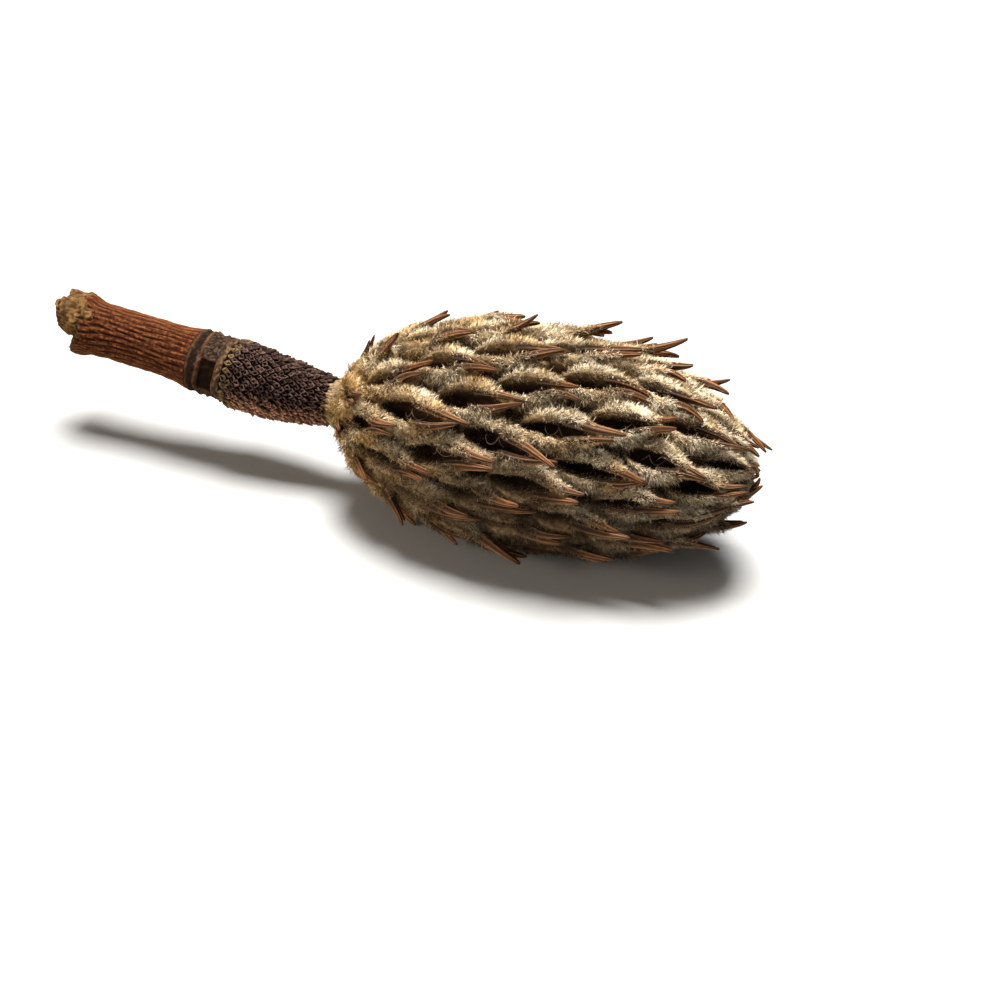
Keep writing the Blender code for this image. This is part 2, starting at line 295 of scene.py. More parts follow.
# %% Points in and out of a mesh


def get_points(mesh):
    """The mesh's points as rows of x, y, z."""
    points = np.empty(3 * len(mesh.vertices))
    mesh.vertices.foreach_get("co", points)
    return points.reshape(-1, 3)


def set_points(mesh, points):
    """Writes the points back."""
    mesh.vertices.foreach_set("co", np.ascontiguousarray(points, dtype=np.float32).ravel())
    mesh.update()


def moved(points, matrix):
    """The points after a 4 x 4 matrix."""
    return points @ np.array(matrix.to_3x3()).T + np.array(matrix.translation)


def set_values(obj, **values):
    """Keeps numbers on the piece's points under these names, for its material to read."""
    for name, numbers in values.items():
        layer = obj.data.attributes.new(name, "FLOAT", "POINT")
        layer.data.foreach_set("value", np.ascontiguousarray(numbers, dtype=np.float32))


def unit(vectors):
    """The same directions, each of length 1."""
    return vectors / np.maximum(np.linalg.norm(vectors, axis=1, keepdims=True), 1e-12)


def new_object(name, mesh):
    """A new object at the origin with this mesh."""
    obj = bpy.data.objects.new(name, mesh)
    bpy.context.scene.collection.objects.link(obj)
    return obj


def joined_copies(name, faces, copies):
    """One object of many copies, which share the model's faces but not its points."""
    count = len(copies[0])
    corners = [
        tuple(corner + count * number for corner in face)
        for number in range(len(copies))
        for face in faces
    ]
    mesh = bpy.data.meshes.new(name)
    mesh.from_pydata(np.concatenate(copies).tolist(), [], corners)
    return new_object(name, mesh)


def take_model(obj):
    """The points and faces of a model, which is then removed."""
    points = get_points(obj.data)
    faces = [tuple(face.vertices) for face in obj.data.polygons]
    bpy.data.objects.remove(obj)
    return points, faces


# %% Modelling: select, extrude, finish


def start_editing(obj):
    """Makes this the only selected object and enters edit mode."""
    bpy.ops.object.select_all(action="DESELECT")
    obj.select_set(True)
    bpy.context.view_layer.objects.active = obj
    bpy.ops.object.mode_set(mode="EDIT")
    bpy.ops.mesh.select_mode(type="FACE")


def stop_editing():
    bpy.ops.object.mode_set(mode="OBJECT")


def select_faces(obj, wanted):
    """Selects the faces whose centre and normal the rule wants."""
    bpy.ops.mesh.select_all(action="DESELECT")
    bm = bmesh.from_edit_mesh(obj.data)
    for face in bm.faces:
        face.select_set(bool(wanted(face.calc_center_median(), face.normal)))
    bmesh.update_edit_mesh(obj.data)


def extrude(step, size=(1, 1, 1), about=(0, 0, 0)):
    """Extrudes what is selected by a step, and resizes the new end about a point."""
    bpy.ops.mesh.extrude_region_move(TRANSFORM_OT_translate={"value": step})
    bpy.ops.transform.resize(value=size, center_override=about)


def apply_modifier(obj, kind, **settings):
    """Adds a modifier with these settings and applies it."""
    bpy.ops.object.select_all(action="DESELECT")
    obj.select_set(True)
    bpy.context.view_layer.objects.active = obj
    modifier = obj.modifiers.new(kind.lower(), kind)
    for name, value in settings.items():
        setattr(modifier, name, value)
    bpy.ops.object.modifier_apply(modifier=modifier.name)


def turned(name, profile, sides):
    """A closed body turned about X from a profile of (x, radius), outsides out."""
    mesh = bpy.data.meshes.new(name)
    edges = [(index, index + 1) for index in range(len(profile) - 1)]
    mesh.from_pydata([(x, 0, radius) for x, radius in profile], edges, [])
    obj = new_object(name, mesh)
    apply_modifier(
        obj, "SCREW", axis="X", steps=sides, render_steps=sides, use_merge_vertices=True,
        merge_threshold=0.00001, use_smooth_shade=True,
    )
    start_editing(obj)
    bpy.ops.mesh.select_all(action="SELECT")
    bpy.ops.mesh.remove_doubles(threshold=0.00001)
    bpy.ops.mesh.normals_make_consistent(inside=False)
    stop_editing()
    return obj


def turned_between(name, start, end, stations, sides, radius):
    """A closed body turned about X between two places, of a given radius at each."""
    places = [start + (end - start) * station / stations for station in range(stations + 1)]
    outline = [(place, float(radius(place))) for place in places]
    return turned(name, [(start, 0), *outline, (end, 0)], sides)


def finish_piece(obj, material, slot, *nodes):
    """Gives a piece its material, its place in the pod and the solid that it stands for."""
    obj.data.materials.clear()
    obj.data.materials.append(material)
    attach(obj, "root")
    if nodes:
        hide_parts(*nodes)
    triangles = sum(len(face.vertices) - 2 for face in obj.data.polygons)
    print(obj.name, "has", triangles, "triangles")


# %% [markdown]
# ## Small tools for materials
# Every surface here is dry plant matter, so the same few effects come back: patches of two
# tones, and fibres that run one way. Each is a node group, built once and placed with its own
# values. The shader itself stays in the material.

# %% Node helpers and the shared groups


def add_node(tree, kind, values=None, **settings):
    """Adds a node, sets what it is told, and links the values that are sockets."""
    node = tree.nodes.new(kind)
    for name, value in settings.items():
        setattr(node, name, value)
    for name, value in (values or {}).items():
        if isinstance(value, bpy.types.NodeSocket):
            tree.links.new(value, node.inputs[name])
        else:
            node.inputs[name].default_value = value
    return node


def new_group(name, inputs, outputs):
    """A shader node group with named sockets; returns it with its two end nodes."""
    group = bpy.data.node_groups.new(name, "ShaderNodeTree")
    for title, kind, value in inputs:
        socket = group.interface.new_socket(title, in_out="INPUT", socket_type=kind)
        if value is not None:
            socket.default_value = value
    for title, kind in outputs:
        group.interface.new_socket(title, in_out="OUTPUT", socket_type=kind)
    return group, group.nodes.new("NodeGroupInput"), group.nodes.new("NodeGroupOutput")


def make_patches_group():
    """Two tones in soft patches, with finer speckles inside them."""
    group, start, end = new_group(
        "Patches of two tones",
        [
            ("Vector", "NodeSocketVector", None),
            ("Tone A", "NodeSocketColor", (0.5, 0.5, 0.5, 1)),
            ("Tone B", "NodeSocketColor", (0.2, 0.2, 0.2, 1)),
            ("Scale", "NodeSocketFloat", 200.0),
            ("Hardness", "NodeSocketFloat", 0.15),
        ],
        [("Color", "NodeSocketColor")],
    )
    noise = add_node(group, "ShaderNodeTexNoise", {
        "Vector": start.outputs["Vector"],
        "Scale": start.outputs["Scale"],
        "Detail": 6.0,
        "Roughness": 0.62,
    })
    low = add_node(group, "ShaderNodeMath", {0: 0.5, 1: start.outputs["Hardness"]}, operation="SUBTRACT")
    high = add_node(group, "ShaderNodeMath", {0: 0.5, 1: start.outputs["Hardness"]}, operation="ADD")
    mask = add_node(group, "ShaderNodeMapRange", {
        "Value": noise.outputs[0],
        "From Min": low.outputs[0],
        "From Max": high.outputs[0],
    })
    mix = add_node(group, "ShaderNodeMix", {
        0: mask.outputs["Result"],
        6: start.outputs["Tone A"],
        7: start.outputs["Tone B"],
    }, data_type="RGBA")
    group.links.new(mix.outputs[2], end.inputs["Color"])
    return group


def make_fibres_group():
    """Thin fibres along X: noise that is stretched along them, as a mask and a bump."""
    group, start, end = new_group(
        "Fibres along X",
        [
            ("Vector", "NodeSocketVector", None),
            ("Stretch", "NodeSocketVector", (100.0, 2500.0, 2500.0)),
            ("Bump", "NodeSocketFloat", 0.3),
            ("Depth", "NodeSocketFloat", 0.0002),
        ],
        [("Mask", "NodeSocketFloat"), ("Normal", "NodeSocketVector")],
    )
    stretched = add_node(group, "ShaderNodeVectorMath", {
        0: start.outputs["Vector"],
        1: start.outputs["Stretch"],
    }, operation="MULTIPLY")
    noise = add_node(group, "ShaderNodeTexNoise", {
        "Vector": stretched.outputs[0],
        "Scale": 1.0,
        "Detail": 5.0,
        "Roughness": 0.6,
    })
    mask = add_node(group, "ShaderNodeMapRange", {
        "Value": noise.outputs[0], "From Min": 0.33, "From Max": 0.67,
    })
    bump = add_node(group, "ShaderNodeBump", {
        "Height": noise.outputs[0],
        "Strength": start.outputs["Bump"],
        "Distance": start.outputs["Depth"],
    })
    group.links.new(mask.outputs["Result"], end.inputs["Mask"])
    group.links.new(bump.outputs["Normal"], end.inputs["Normal"])
    return group


PATCHES = make_patches_group()
FIBRES = make_fibres_group()
print("groups:", PATCHES.name, "and", FIBRES.name)

# %% A material, step by step


def as_colour(value):
    """A socket as it is, or a colour with its alpha."""
    return value if isinstance(value, bpy.types.NodeSocket) else (*value, 1)


class Finish:
    """A material under construction, with short calls for the nodes that it needs."""

    def __init__(self, name, roughness, **sockets):
        self.material = bpy.data.materials.new(name)
        self.material.use_nodes = True
        self.tree = self.material.node_tree
        self.shader = self.tree.nodes["Principled BSDF"]
        self.shader.inputs["Roughness"].default_value = roughness
        for title, value in sockets.items():
            self.shader.inputs[title.replace("_", " ")].default_value = value
        self.place = self.node("ShaderNodeTexCoord").outputs["Object"]

    def node(self, kind, values=None, **settings):
        """A node of this material."""
        return add_node(self.tree, kind, values, **settings)

    def value(self, name):
        """One number a point, as kept on the mesh."""
        return self.node("ShaderNodeAttribute", attribute_name=name).outputs["Fac"]

    def patches(self, tone_a, tone_b, scale, hardness=0.15):
        """The colour of patches of two tones."""
        values = {"Vector": self.place, "Tone A": as_colour(tone_a), "Tone B": as_colour(tone_b)}
        values.update({"Scale": scale, "Hardness": hardness})
        return self.node("ShaderNodeGroup", values, node_tree=PATCHES).outputs["Color"]

    def fibres(self, stretch, bump, depth, vector=None):
        """The node of fibres, with its mask and normal."""
        values = {"Vector": vector or self.place, "Stretch": stretch, "Bump": bump, "Depth": depth}
        return self.node("ShaderNodeGroup", values, node_tree=FIBRES)

    def mix(self, share, first, second):
        """first where share is 0 and second where it is 1."""
        values = {0: share, 6: as_colour(first), 7: as_colour(second)}
        return self.node("ShaderNodeMix", values, data_type="RGBA").outputs[2]

    def spread(self, value, low, high):
        """Stretches low to high over 0 to 1."""
        values = {"Value": value, "From Min": low, "From Max": high}
        return self.node("ShaderNodeMapRange", values).outputs["Result"]

    def done(self, colour, fibres=None):
        """Links the colour and the fibres' bump to the shader, and gives the material."""
        self.tree.links.new(colour, self.shader.inputs["Base Color"])
        if fibres is not None:
            self.tree.links.new(fibres.outputs["Normal"], self.shader.inputs["Normal"])
        return self.material


# %% [markdown]
# ## The follicles' skin
# A follicle is a woody case that split open along its back. It shows as an almond-shaped slit
# between two thick lips. One is modelled from a cube whose ends are drawn out to a boat, and
# whose top is inset and pushed down to make the slit. A Subdivision Surface rounds it, and
# Decimate thins it again, because there are 98 copies. The weights in its vertex group say what
# belongs to the slit, so each copy can gape by its own amount, or be pressed shut. One Boolean
# union joins all the copies and the core, which is then sunk to a chamber inside each slit.

# %% Numbering a mesh by place


def put_in_order(obj):
    """Numbers a mesh's points and faces by their places, and returns each old point's number.
    Edit mode and a Boolean may number them otherwise in each run, and the wool, which is drawn
    at random on this mesh, would then lie otherwise too."""
    points = get_points(obj.data)
    order = np.lexsort(np.round(points, 7).T)
    numbers = np.empty(len(points), dtype=int)
    numbers[order] = np.arange(len(points))
    faces = []
    for face in obj.data.polygons:
        corners = numbers[list(face.vertices)].tolist()
        first = corners.index(min(corners))
        faces.append(tuple(corners[first:] + corners[:first]))
    mesh = bpy.data.meshes.new(obj.name)
    mesh.from_pydata(points[order].tolist(), [], sorted(faces))
    unordered = obj.data
    obj.data = mesh
    bpy.data.meshes.remove(unordered)
    return numbers


# %% One follicle, modelled from a cube
SLIT_FLOOR = -0.0016
KEPT_SHARE = 0.42


def model_follicle():
    """The boat with its slit, at true size, X towards the beak and Z outwards."""
    bpy.ops.mesh.primitive_cube_add(size=1, location=(0.0001, 0, 0.0006), scale=(0.0046, 0.0090, 0.0058))
    obj = bpy.context.object
    obj.name = "follicle"
    bpy.ops.object.transform_apply(location=True, rotation=False, scale=True)
    start_editing(obj)
    select_faces(obj, lambda centre, normal: normal.x > 0.9)
    extrude((0.0034, 0, 0), (1, 0.70, 0.84), (0, 0, 0.0002))
    extrude((0.0028, 0, 0), (1, 0.44, 0.55), (0, 0, 0.0006))
    select_faces(obj, lambda centre, normal: normal.x < -0.9)
    extrude((-0.0036, 0, 0), (1, 0.80, 0.84), (0, 0, -0.0010))
    extrude((-0.0032, 0, 0), (1, 0.42, 0.45), (0, 0, -0.0014))
    select_faces(obj, lambda centre, normal: normal.z > 0.3)
    bpy.ops.mesh.inset(thickness=0.0007, use_boundary=True)
    bpy.ops.transform.resize(value=(0.96, 0.62, 1), center_override=(-0.0006, 0, 0))
    bpy.ops.transform.translate(value=(0, 0, 0.0003))
    extrude((0, 0, -0.0009), (0.98, 0.92, 1), (-0.0006, 0, 0))
    extrude((0, 0, -0.0036), (0.86, 0.66, 0.6), (-0.0006, 0, SLIT_FLOOR))
    stop_editing()
    inner = [index for face in obj.data.polygons if face.select for index in face.vertices]
    floor_points = sorted(set(put_in_order(obj)[inner].tolist()))
    slit = obj.vertex_groups.new(name="slit")
    slit.add(floor_points, 1.0, "REPLACE")
    apply_modifier(obj, "SUBSURF", levels=2, render_levels=2)
    apply_modifier(obj, "DECIMATE", ratio=KEPT_SHARE, use_collapse_triangulate=True)
    weights = np.zeros(len(obj.data.vertices))
    for vertex in obj.data.vertices:
        for group in vertex.groups:
            weights[vertex.index] = group.weight
    size = get_points(obj.data)
    print("follicle:", len(obj.data.polygons), "faces, from", size.min(axis=0), "to", size.max(axis=0))
    print("points of the slit's floor:", len(floor_points))
    return obj, weights


follicle_model, slit_weights = model_follicle()
follicle_points, follicle_faces = take_model(follicle_model)

# %% All the copies, joined with the core
CORE_SIDES = 72
CORE_STATIONS = 64
GAPE = (0.70, 1.25)
SLIT_CLOSING = 0.0038
LIP_REACH = 0.0030
CHAMBER_MIDDLE = -0.0004
CHAMBER_HALF_LENGTH = 0.0071
CHAMBER_HALF_WIDTH = 0.0020
CHAMBER_DEPTH = 0.0026
CHAMBER_TOP = 0.0013
LIP_TOP = 0.0034
LIP_SOFTNESS = 0.001
SAME_PLACE = 0.0004
SLIT_HALF_LENGTH = 0.0088
SLIT_HALF_WIDTH = 0.0015
BACK_LEAN = 0.9
NECK_FACE = 0.0020
NECK_SQUEEZE = 0.75
SHOULDER_SHIFT = 0.0034
SHOULDER_REACH = (0.001, 0.017)
TIP_SHIFT = 0.0014
TIP_REACH = (0.064, 0.092)
CREST_HEIGHTS = (0.0002, 0.0026)


def core_profile():
    """Outline of the woody core, closer stations at the blunt ends."""
    profile = [(0, 0), (0, 0.85 * NECK_RADIUS)]
    for station in range(1, CORE_STATIONS):
        share = 0.5 - 0.5 * math.cos(math.pi * station / CORE_STATIONS)
        profile.append((share * CONE_LENGTH, max(core_radius(share), 0.85 * NECK_RADIUS * (1 - share))))
    profile.append((CONE_LENGTH, 0))
    return profile


def sink_chambers(points, owners):
    """Sinks the core inside each slit to an empty chamber. Returns each point's place in the
    frame of the follicle that it belongs to, the direction away from that follicle's slit, and
    how far inside the chamber it is."""
    places = np.empty_like(points)
    aside = np.empty_like(points)
    chamber = np.zeros(len(points))
    for number, follicle in enumerate(pod):
        mine = owners == number
        own_frame = surface_frame(follicle)
        own = moved(points[mine], own_frame.inverted())
        along = (own[:, 0] - CHAMBER_MIDDLE) / CHAMBER_HALF_LENGTH
        across = own[:, 1] / CHAMBER_HALF_WIDTH
        inside = smooth_step(1 - along**2 - across**2, 0.0, 0.5) * (own[:, 2] < CHAMBER_TOP)
        inside *= 1 - follicle.press
        places[mine] = own
        aside[mine] = np.tanh(own[:, 1:2] / LIP_SOFTNESS) * np.array(own_frame.col[1][:3]) / follicle.size
        behind = BACK_LEAN * smooth_step(-along, 0.55, 1.0)
        aside[mine] -= behind[:, None] * np.array(own_frame.col[0][:3]) / follicle.size
        chamber[mine] = inside
        own[:, 2] -= CHAMBER_DEPTH * inside
        points[mine] = moved(own, own_frame)
    return places, aside, chamber


def eased(points):
    """Draws in the ends of the cone: a narrower shoulder at the neck, and a blunter tip."""
    along = moved(points, POD_POSE.inverted())[:, 0]
    shift = SHOULDER_SHIFT * (1 - smooth_step(along, *SHOULDER_REACH))
    shift -= TIP_SHIFT * smooth_step(along, *TIP_REACH)
    shift -= NECK_SQUEEZE * np.minimum(along - NECK_FACE, 0)
    return points + np.outer(shift, POD_AXIS)


def make_skin():
    """The whole cone in one closed skin. Returns it with, for each of its points, how hollow it
    is there, the place in its follicle's frame, and the direction away from the slit."""
    rng = random.Random(SEED + 1)
    core = turned("cone_skin", core_profile(), CORE_SIDES)
    set_points(core.data, moved(get_points(core.data), POD_POSE))
    copies = bpy.data.collections.new("follicle_copies")
    bpy.context.scene.collection.children.link(copies)
    slit_tree = kdtree.KDTree(len(pod) * len(follicle_points))
    for number, follicle in enumerate(pod):
        gape = rng.uniform(*GAPE)
        own = follicle_points.copy()
        own[:, 1] *= 1 + (gape - 1) * np.exp(-((own[:, 1] / LIP_REACH) ** 2))
        own[:, 2] += slit_weights * follicle.press * SLIT_CLOSING
        own = moved(own, surface_frame(follicle))
        for index, place in enumerate(own):
            slit_tree.insert(place, number * len(own) + index)
        mesh = bpy.data.meshes.new("follicle_copy")
        mesh.from_pydata(own.tolist(), [], follicle_faces)
        copies.objects.link(bpy.data.objects.new("follicle_copy", mesh))
    slit_tree.balance()
    apply_modifier(
        core, "BOOLEAN", operation="UNION", solver="MANIFOLD", operand_type="COLLECTION", collection=copies,
    )
    for obj in list(copies.objects):
        bpy.data.objects.remove(obj)
    bpy.data.collections.remove(copies)
    put_in_order(core)
    points = get_points(core.data)
    nearest = [slit_tree.find(place)[1:] for place in points]
    owners = np.array([index // len(follicle_points) for index, _ in nearest])
    weights = np.array([slit_weights[index % len(follicle_points)] for index, _ in nearest])
    weights *= np.array([distance < SAME_PLACE for _, distance in nearest])
    own, aside, chamber = sink_chambers(points, owners)
    lens = ((own[:, 0] - CHAMBER_MIDDLE) / SLIT_HALF_LENGTH) ** 2 + (own[:, 1] / SLIT_HALF_WIDTH) ** 2
    lens = 0.4 * (1 - smooth_step(lens, 0.5, 1.0)) * (own[:, 2] < LIP_TOP)
    hollow = np.maximum(np.maximum(weights, chamber), lens)
    hollow *= np.array([1 - pod[owner].press for owner in owners])
    points = eased(points)
    points[:, 2] = np.maximum(points[:, 2], LOWEST)
    set_points(core.data, points)
    core.data.shade_smooth()
    return core, hollow, own, aside


skin, hollow, skin_places, skin_aside = make_skin()
skin_crest = smooth_step(skin_places[:, 2], *CREST_HEIGHTS)
set_values(skin, hollow=hollow, crest=skin_crest)
print("skin points:", len(hollow), "of them in slits:", int((hollow > 0.3).sum()))

# %% [markdown]
# Under the wool the skin is a dull brown felt. It only shows between the hairs, and it is painted
# darker than they are, and darker still in the valleys between the lips, as the shade under them.
# In the slits it turns to the dark, bare wood of the empty seed chambers.

# %% The skin's material


def make_skin_material():
    """Dull brown felt, paler on the crests and dark in the valleys as painted shade, and bare dark
    wood where it is hollow.
    """
    finish = Finish("felted_skin", 0.95, Specular_IOR_Level=0.05)
    # Painted shade: the felt is dark in the valleys between the lips and paler on their crests.
    high = finish.mix(finish.value("crest"), (0.040, 0.025, 0.014), (0.240, 0.165, 0.085))
    felt = finish.patches(high, (0.070, 0.044, 0.023), 900, 0.12)
    inside = finish.patches((0.016, 0.010, 0.007), (0.052, 0.030, 0.019), 450, 0.2)
    depth = finish.spread(finish.value("hollow"), 0.10, 0.45)
    grain = finish.fibres((900.0, 2600.0, 2600.0), 0.5, 0.0003)
    return finish.done(finish.mix(depth, felt, inside), grain)


finish_piece(skin, make_skin_material(), "wool", "seed_cone")

# %% [markdown]
# ## The beaks
# Each lip runs out into a woody prong, and the two prongs of a follicle lie side by side as its
# beak. They are woolly at their base, then bare, red-brown and wrinkled lengthwise, and some are
# hooked or split apart. One straight prong is extruded ring by ring from a thin cylinder, and
# each copy is bent along its own curve.

# %% One prong, extruded ring by ring
PRONG_SIDES = 10
PRONG_RINGS = (
    (0.10, 0.95), (0.12, 0.93), (0.14, 0.89), (0.15, 0.87),
    (0.15, 0.85), (0.13, 0.81), (0.10, 0.74), (0.06, 0.55),
)
PRONG_START = (0.0012, 0.00210, 0.0022)
PRONG_KNEE = (0.0058, 0.00080, 0.0046)
PRONG_HALF_WIDTH = 0.00130
PRONG_HALF_HEIGHT = 0.00116
PRONG_INNER_SHARE = 0.60
LENGTHS = (0.66, 1.12)
SPLAYS = (0.0, 0.0, 0.0, 0.0003, 0.0010)
HOOKS = (0.0, 0.0012, 0.0022, -0.0010, -0.0020)
THICKNESSES = (0.85, 1.15)
FLUTE_DEPTH = 0.22


def model_prong():
    """A straight prong of length 1 and radius 1 at its root, along X."""
    bpy.ops.mesh.primitive_cylinder_add(
        vertices=PRONG_SIDES, radius=1, depth=0.05, location=(0.025, 0, 0), rotation=(0, math.pi / 2, 0),
    )
    obj = bpy.context.object
    bpy.ops.object.transform_apply(location=True, rotation=True, scale=True)
    start_editing(obj)
    select_faces(obj, lambda centre, normal: normal.x > 0.9)
    for step, size in PRONG_RINGS:
        extrude((step, 0, 0), (1, size, size), (0, 0, 0))
    stop_editing()
    points = get_points(obj.data)
    around = np.arctan2(points[:, 2], points[:, 1])
    points[:, 1:] *= (1 + FLUTE_DEPTH * np.cos(PRONG_SIDES / 2 * around))[:, None]
    points[:, 0] /= points[:, 0].max()
    set_points(obj.data, points)
    return obj


def curve_point(start, knee, end, share):
    """A point of the curve that leaves start towards knee and comes to end from it."""
    share = share[:, None]
    return (1 - share) ** 2 * start + 2 * share * (1 - share) * knee + share**2 * end


def beak_growth(share):
    """1 along the cone, and less next to the neck and at the tip, where beaks stay short."""
    return 0.55 + 0.45 * float(smooth_step(share, 0.02, 0.12) * (1 - smooth_step(share, 0.90, 0.99)))


def bend_prong(points, side, follicle, rng):
    """The prong's points along its own curve in the follicle's frame."""
    share = points[:, 0]
    length = BEAK_LENGTH * rng.uniform(*LENGTHS) * beak_growth(follicle.share)
    free = 1 - follicle.press
    splay = rng.choice(SPLAYS) * free
    hook = rng.choice(HOOKS) * free * follicle.size
    wave = rng.uniform(-0.0009, 0.0009) * free
    mirrored = np.array((1, side, 1))
    start = np.array(PRONG_START) * mirrored
    knee = np.array(PRONG_KNEE) * mirrored
    end = np.array((
        FOLLICLE_FRONT + length * math.cos(follicle.lift),
        side * (0.00036 + splay) + rng.uniform(-0.0002, 0.0002),
        0.55 * LIP_HEIGHT + length * math.sin(follicle.lift),
    ))
    centre = curve_point(start, knee, end, share)
    along = unit(curve_point(start, knee, end, share + 0.01) - centre)
    centre[:, 2] += hook * share**3
    centre[:, 1] += wave * np.sin(4.5 * share) * share
    across = unit(np.array((0, 1, 0)) - along * along[:, 1:2])
    up = np.cross(along, across)
    inner = np.where(points[:, 1] * side < 0, PRONG_INNER_SHARE, 1.0)
    wide = PRONG_HALF_WIDTH * rng.uniform(*THICKNESSES) * points[:, 1] * inner
    high = PRONG_HALF_HEIGHT * rng.uniform(*THICKNESSES) * points[:, 2]
    return centre + across * wide[:, None] + up * high[:, None]


prong_model = model_prong()
put_in_order(prong_model)
prong_points, prong_faces = take_model(prong_model)
prong_around = np.arctan2(prong_points[:, 1], -prong_points[:, 2])
print("prong:", len(prong_points), "points")

# %% Both prongs of every beak


def make_beaks():
    """All the prongs in one piece, with how far along, how far round and how dark each point is."""
    rng = random.Random(SEED + 2)
    copies = []
    shades = []
    for follicle in pod:
        own = surface_frame(follicle)
        for side in (-1, 1):
            bent = eased(moved(bend_prong(prong_points, side, follicle, rng), own))
            bent[:, 2] = np.maximum(bent[:, 2], LOWEST)
            copies.append(bent)
            shades.append(rng.random())
    beaks = joined_copies("beaks", prong_faces, copies)
    beaks.data.shade_smooth()
    flutes = 0.5 + 0.5 * np.cos(PRONG_SIDES / 2 * np.arctan2(prong_points[:, 2], prong_points[:, 1]))
    own = {"along": prong_points[:, 0], "around": prong_around, "flute": flutes}
    set_values(beaks, **{name: np.tile(values, len(copies)) for name, values in own.items()})
    set_values(beaks, shade=np.repeat(shades, len(prong_points)))
    return beaks


def make_beak_material():
    """Red-brown wood, weathered grey-brown near the wool: pale along its ridges, dark in its
    wrinkles and at its very tip. The pale ridges are a painted highlight, and the dark wrinkles and
    flute grooves are painted shade; the dark tip is the wood's own."""
    finish = Finish("beak_wood", 0.75, Specular_IOR_Level=0.08)
    along = finish.value("along")
    shade = finish.value("shade")
    lines = finish.node("ShaderNodeCombineXYZ", {"X": along, "Y": finish.value("around"), "Z": shade})
    wrinkles = finish.fibres((4.0, 2.8, 90.0), 0.9, 0.0005, lines.outputs[0])
    speckles = finish.patches((0.300, 0.120, 0.046), (0.115, 0.046, 0.019), 600, 0.2)
    warm = finish.mix(shade, speckles, (0.095, 0.060, 0.038))
    # Painted shade: the fibre mask darkens the wrinkles.
    wear_and_shade = finish.mix(wrinkles.outputs["Mask"], (0.018, 0.008, 0.005), warm)
    # Painted shade in the grooves between the flutes.
    grooved = finish.mix(finish.spread(finish.value("flute"), 0.40, -0.60), wear_and_shade, (0.016, 0.007, 0.004))
    # Painted highlight along the ridges of the flutes.
    lit = finish.mix(finish.spread(finish.value("flute"), 0.45, 1.40), grooved, (0.560, 0.262, 0.108))
    # Near the wool the flutes also get painted shade in their grooves.
    dull = finish.mix(finish.value("flute"), (0.017, 0.009, 0.006), (0.105, 0.064, 0.040))
    aged = finish.mix(finish.spread(along, 0.20, 0.72), dull, lit)
    dark_tip = finish.spread(along, 0.86, 1.30)
    return finish.done(finish.mix(dark_tip, aged, (0.025, 0.011, 0.008)), wrinkles)


beaks = make_beaks()
finish_piece(beaks, make_beak_material(), "wool")

# %% [markdown]
# ## Threads in the slits
# The seeds hung on pale threads, and some threads are still curled up inside the open slits.
# A thread is a curve with a round bevel, turned into a mesh.

# %% Curled threads
THREADED = 0.45
THREAD_RADIUS = 0.00009
THREAD_POINTS = 18


def make_threads():
    rng = random.Random(SEED + 3)
    data = bpy.data.curves.new("seed_threads", "CURVE")
    data.dimensions = "3D"
    data.bevel_depth = THREAD_RADIUS
    data.bevel_resolution = 0
    data.use_fill_caps = True
    for follicle in pod:
        chosen = rng.random() < THREADED
        start, turns, swing = rng.uniform(-0.004, -0.002), rng.uniform(0.8, 1.6), rng.uniform(0, 6.3)
        reach, rise = rng.uniform(0.004, 0.0065), rng.uniform(0.0006, 0.0020)
        if not chosen or follicle.press > 0.2:
            continue
        own = surface_frame(follicle)
        spline = data.splines.new("POLY")
        spline.points.add(THREAD_POINTS - 1)
        for index in range(THREAD_POINTS):
            share = index / (THREAD_POINTS - 1)
            angle = swing + 2 * math.pi * turns * share
            place = Vector((
                start + reach * share + 0.0005 * math.cos(angle),
                0.0009 * math.sin(angle),
                -0.0006 + rise * math.sin(math.pi * share),
            ))
            spline.points[index].co = (*(own @ place), 1)
    obj = bpy.data.objects.new("seed_threads", data)
    bpy.context.scene.collection.objects.link(obj)
    bpy.ops.object.select_all(action="DESELECT")
    obj.select_set(True)
    bpy.context.view_layer.objects.active = obj
    bpy.ops.object.convert(target="MESH")
    threads = bpy.context.object
    set_points(threads.data, eased(get_points(threads.data)))
    return threads


def make_thread_material():
    finish = Finish("pale_thread", 0.6)
    tones = finish.patches((0.30, 0.21, 0.13), (0.14, 0.085, 0.05), 400, 0.2)
    return finish.done(tones)


finish_piece(make_threads(), make_thread_material(), "wool")

# %% [markdown]
# ## The neck
# Between the scar zone and the first follicles the cone narrows to a neck with flat pale ribs.
# It is a turned sleeve, whose ribs are cosines round it, and wool lies flat over it.

# %% A ribbed sleeve
NECK_BACK = -0.0010
NECK_FRONT = 0.0085
NECK_FLARE = 0.0038
NECK_STATIONS = 20
NECK_SIDES = 120
NECK_RIBS = 15
NECK_RIB_DEPTH = 0.08


def sleeve_radius(along):
    """Radius of the neck at this place along the pod."""
    return NECK_RADIUS - 0.0005 + NECK_FLARE * smooth_step(along, -0.002, 0.011)


def make_neck():
    """The sleeve, with ribs that wander a little as they run along it."""
    neck = turned_between("ribbed_neck", NECK_FRONT, NECK_BACK, NECK_STATIONS, NECK_SIDES, sleeve_radius)
    points = get_points(neck.data)
    angle = np.arctan2(points[:, 2], points[:, 1])
    wander = 1.8 * np.sin(2 * angle + 1) + 1.3 * np.sin(5 * angle) + 260 * points[:, 0] * np.sin(3 * angle)
    ribs = 0.5 + 0.5 * np.cos(NECK_RIBS * angle + wander)
    points[:, 1:] *= (1 + NECK_RIB_DEPTH * (ribs - 0.5))[:, None]
    set_points(neck.data, moved(points, POD_POSE))
    # Painted shade: the ribs are darker towards the underside of the neck.
    set_values(neck, rib=ribs * (0.45 + 0.55 * smooth_step(np.sin(angle), -0.5, 0.7)))
    return neck


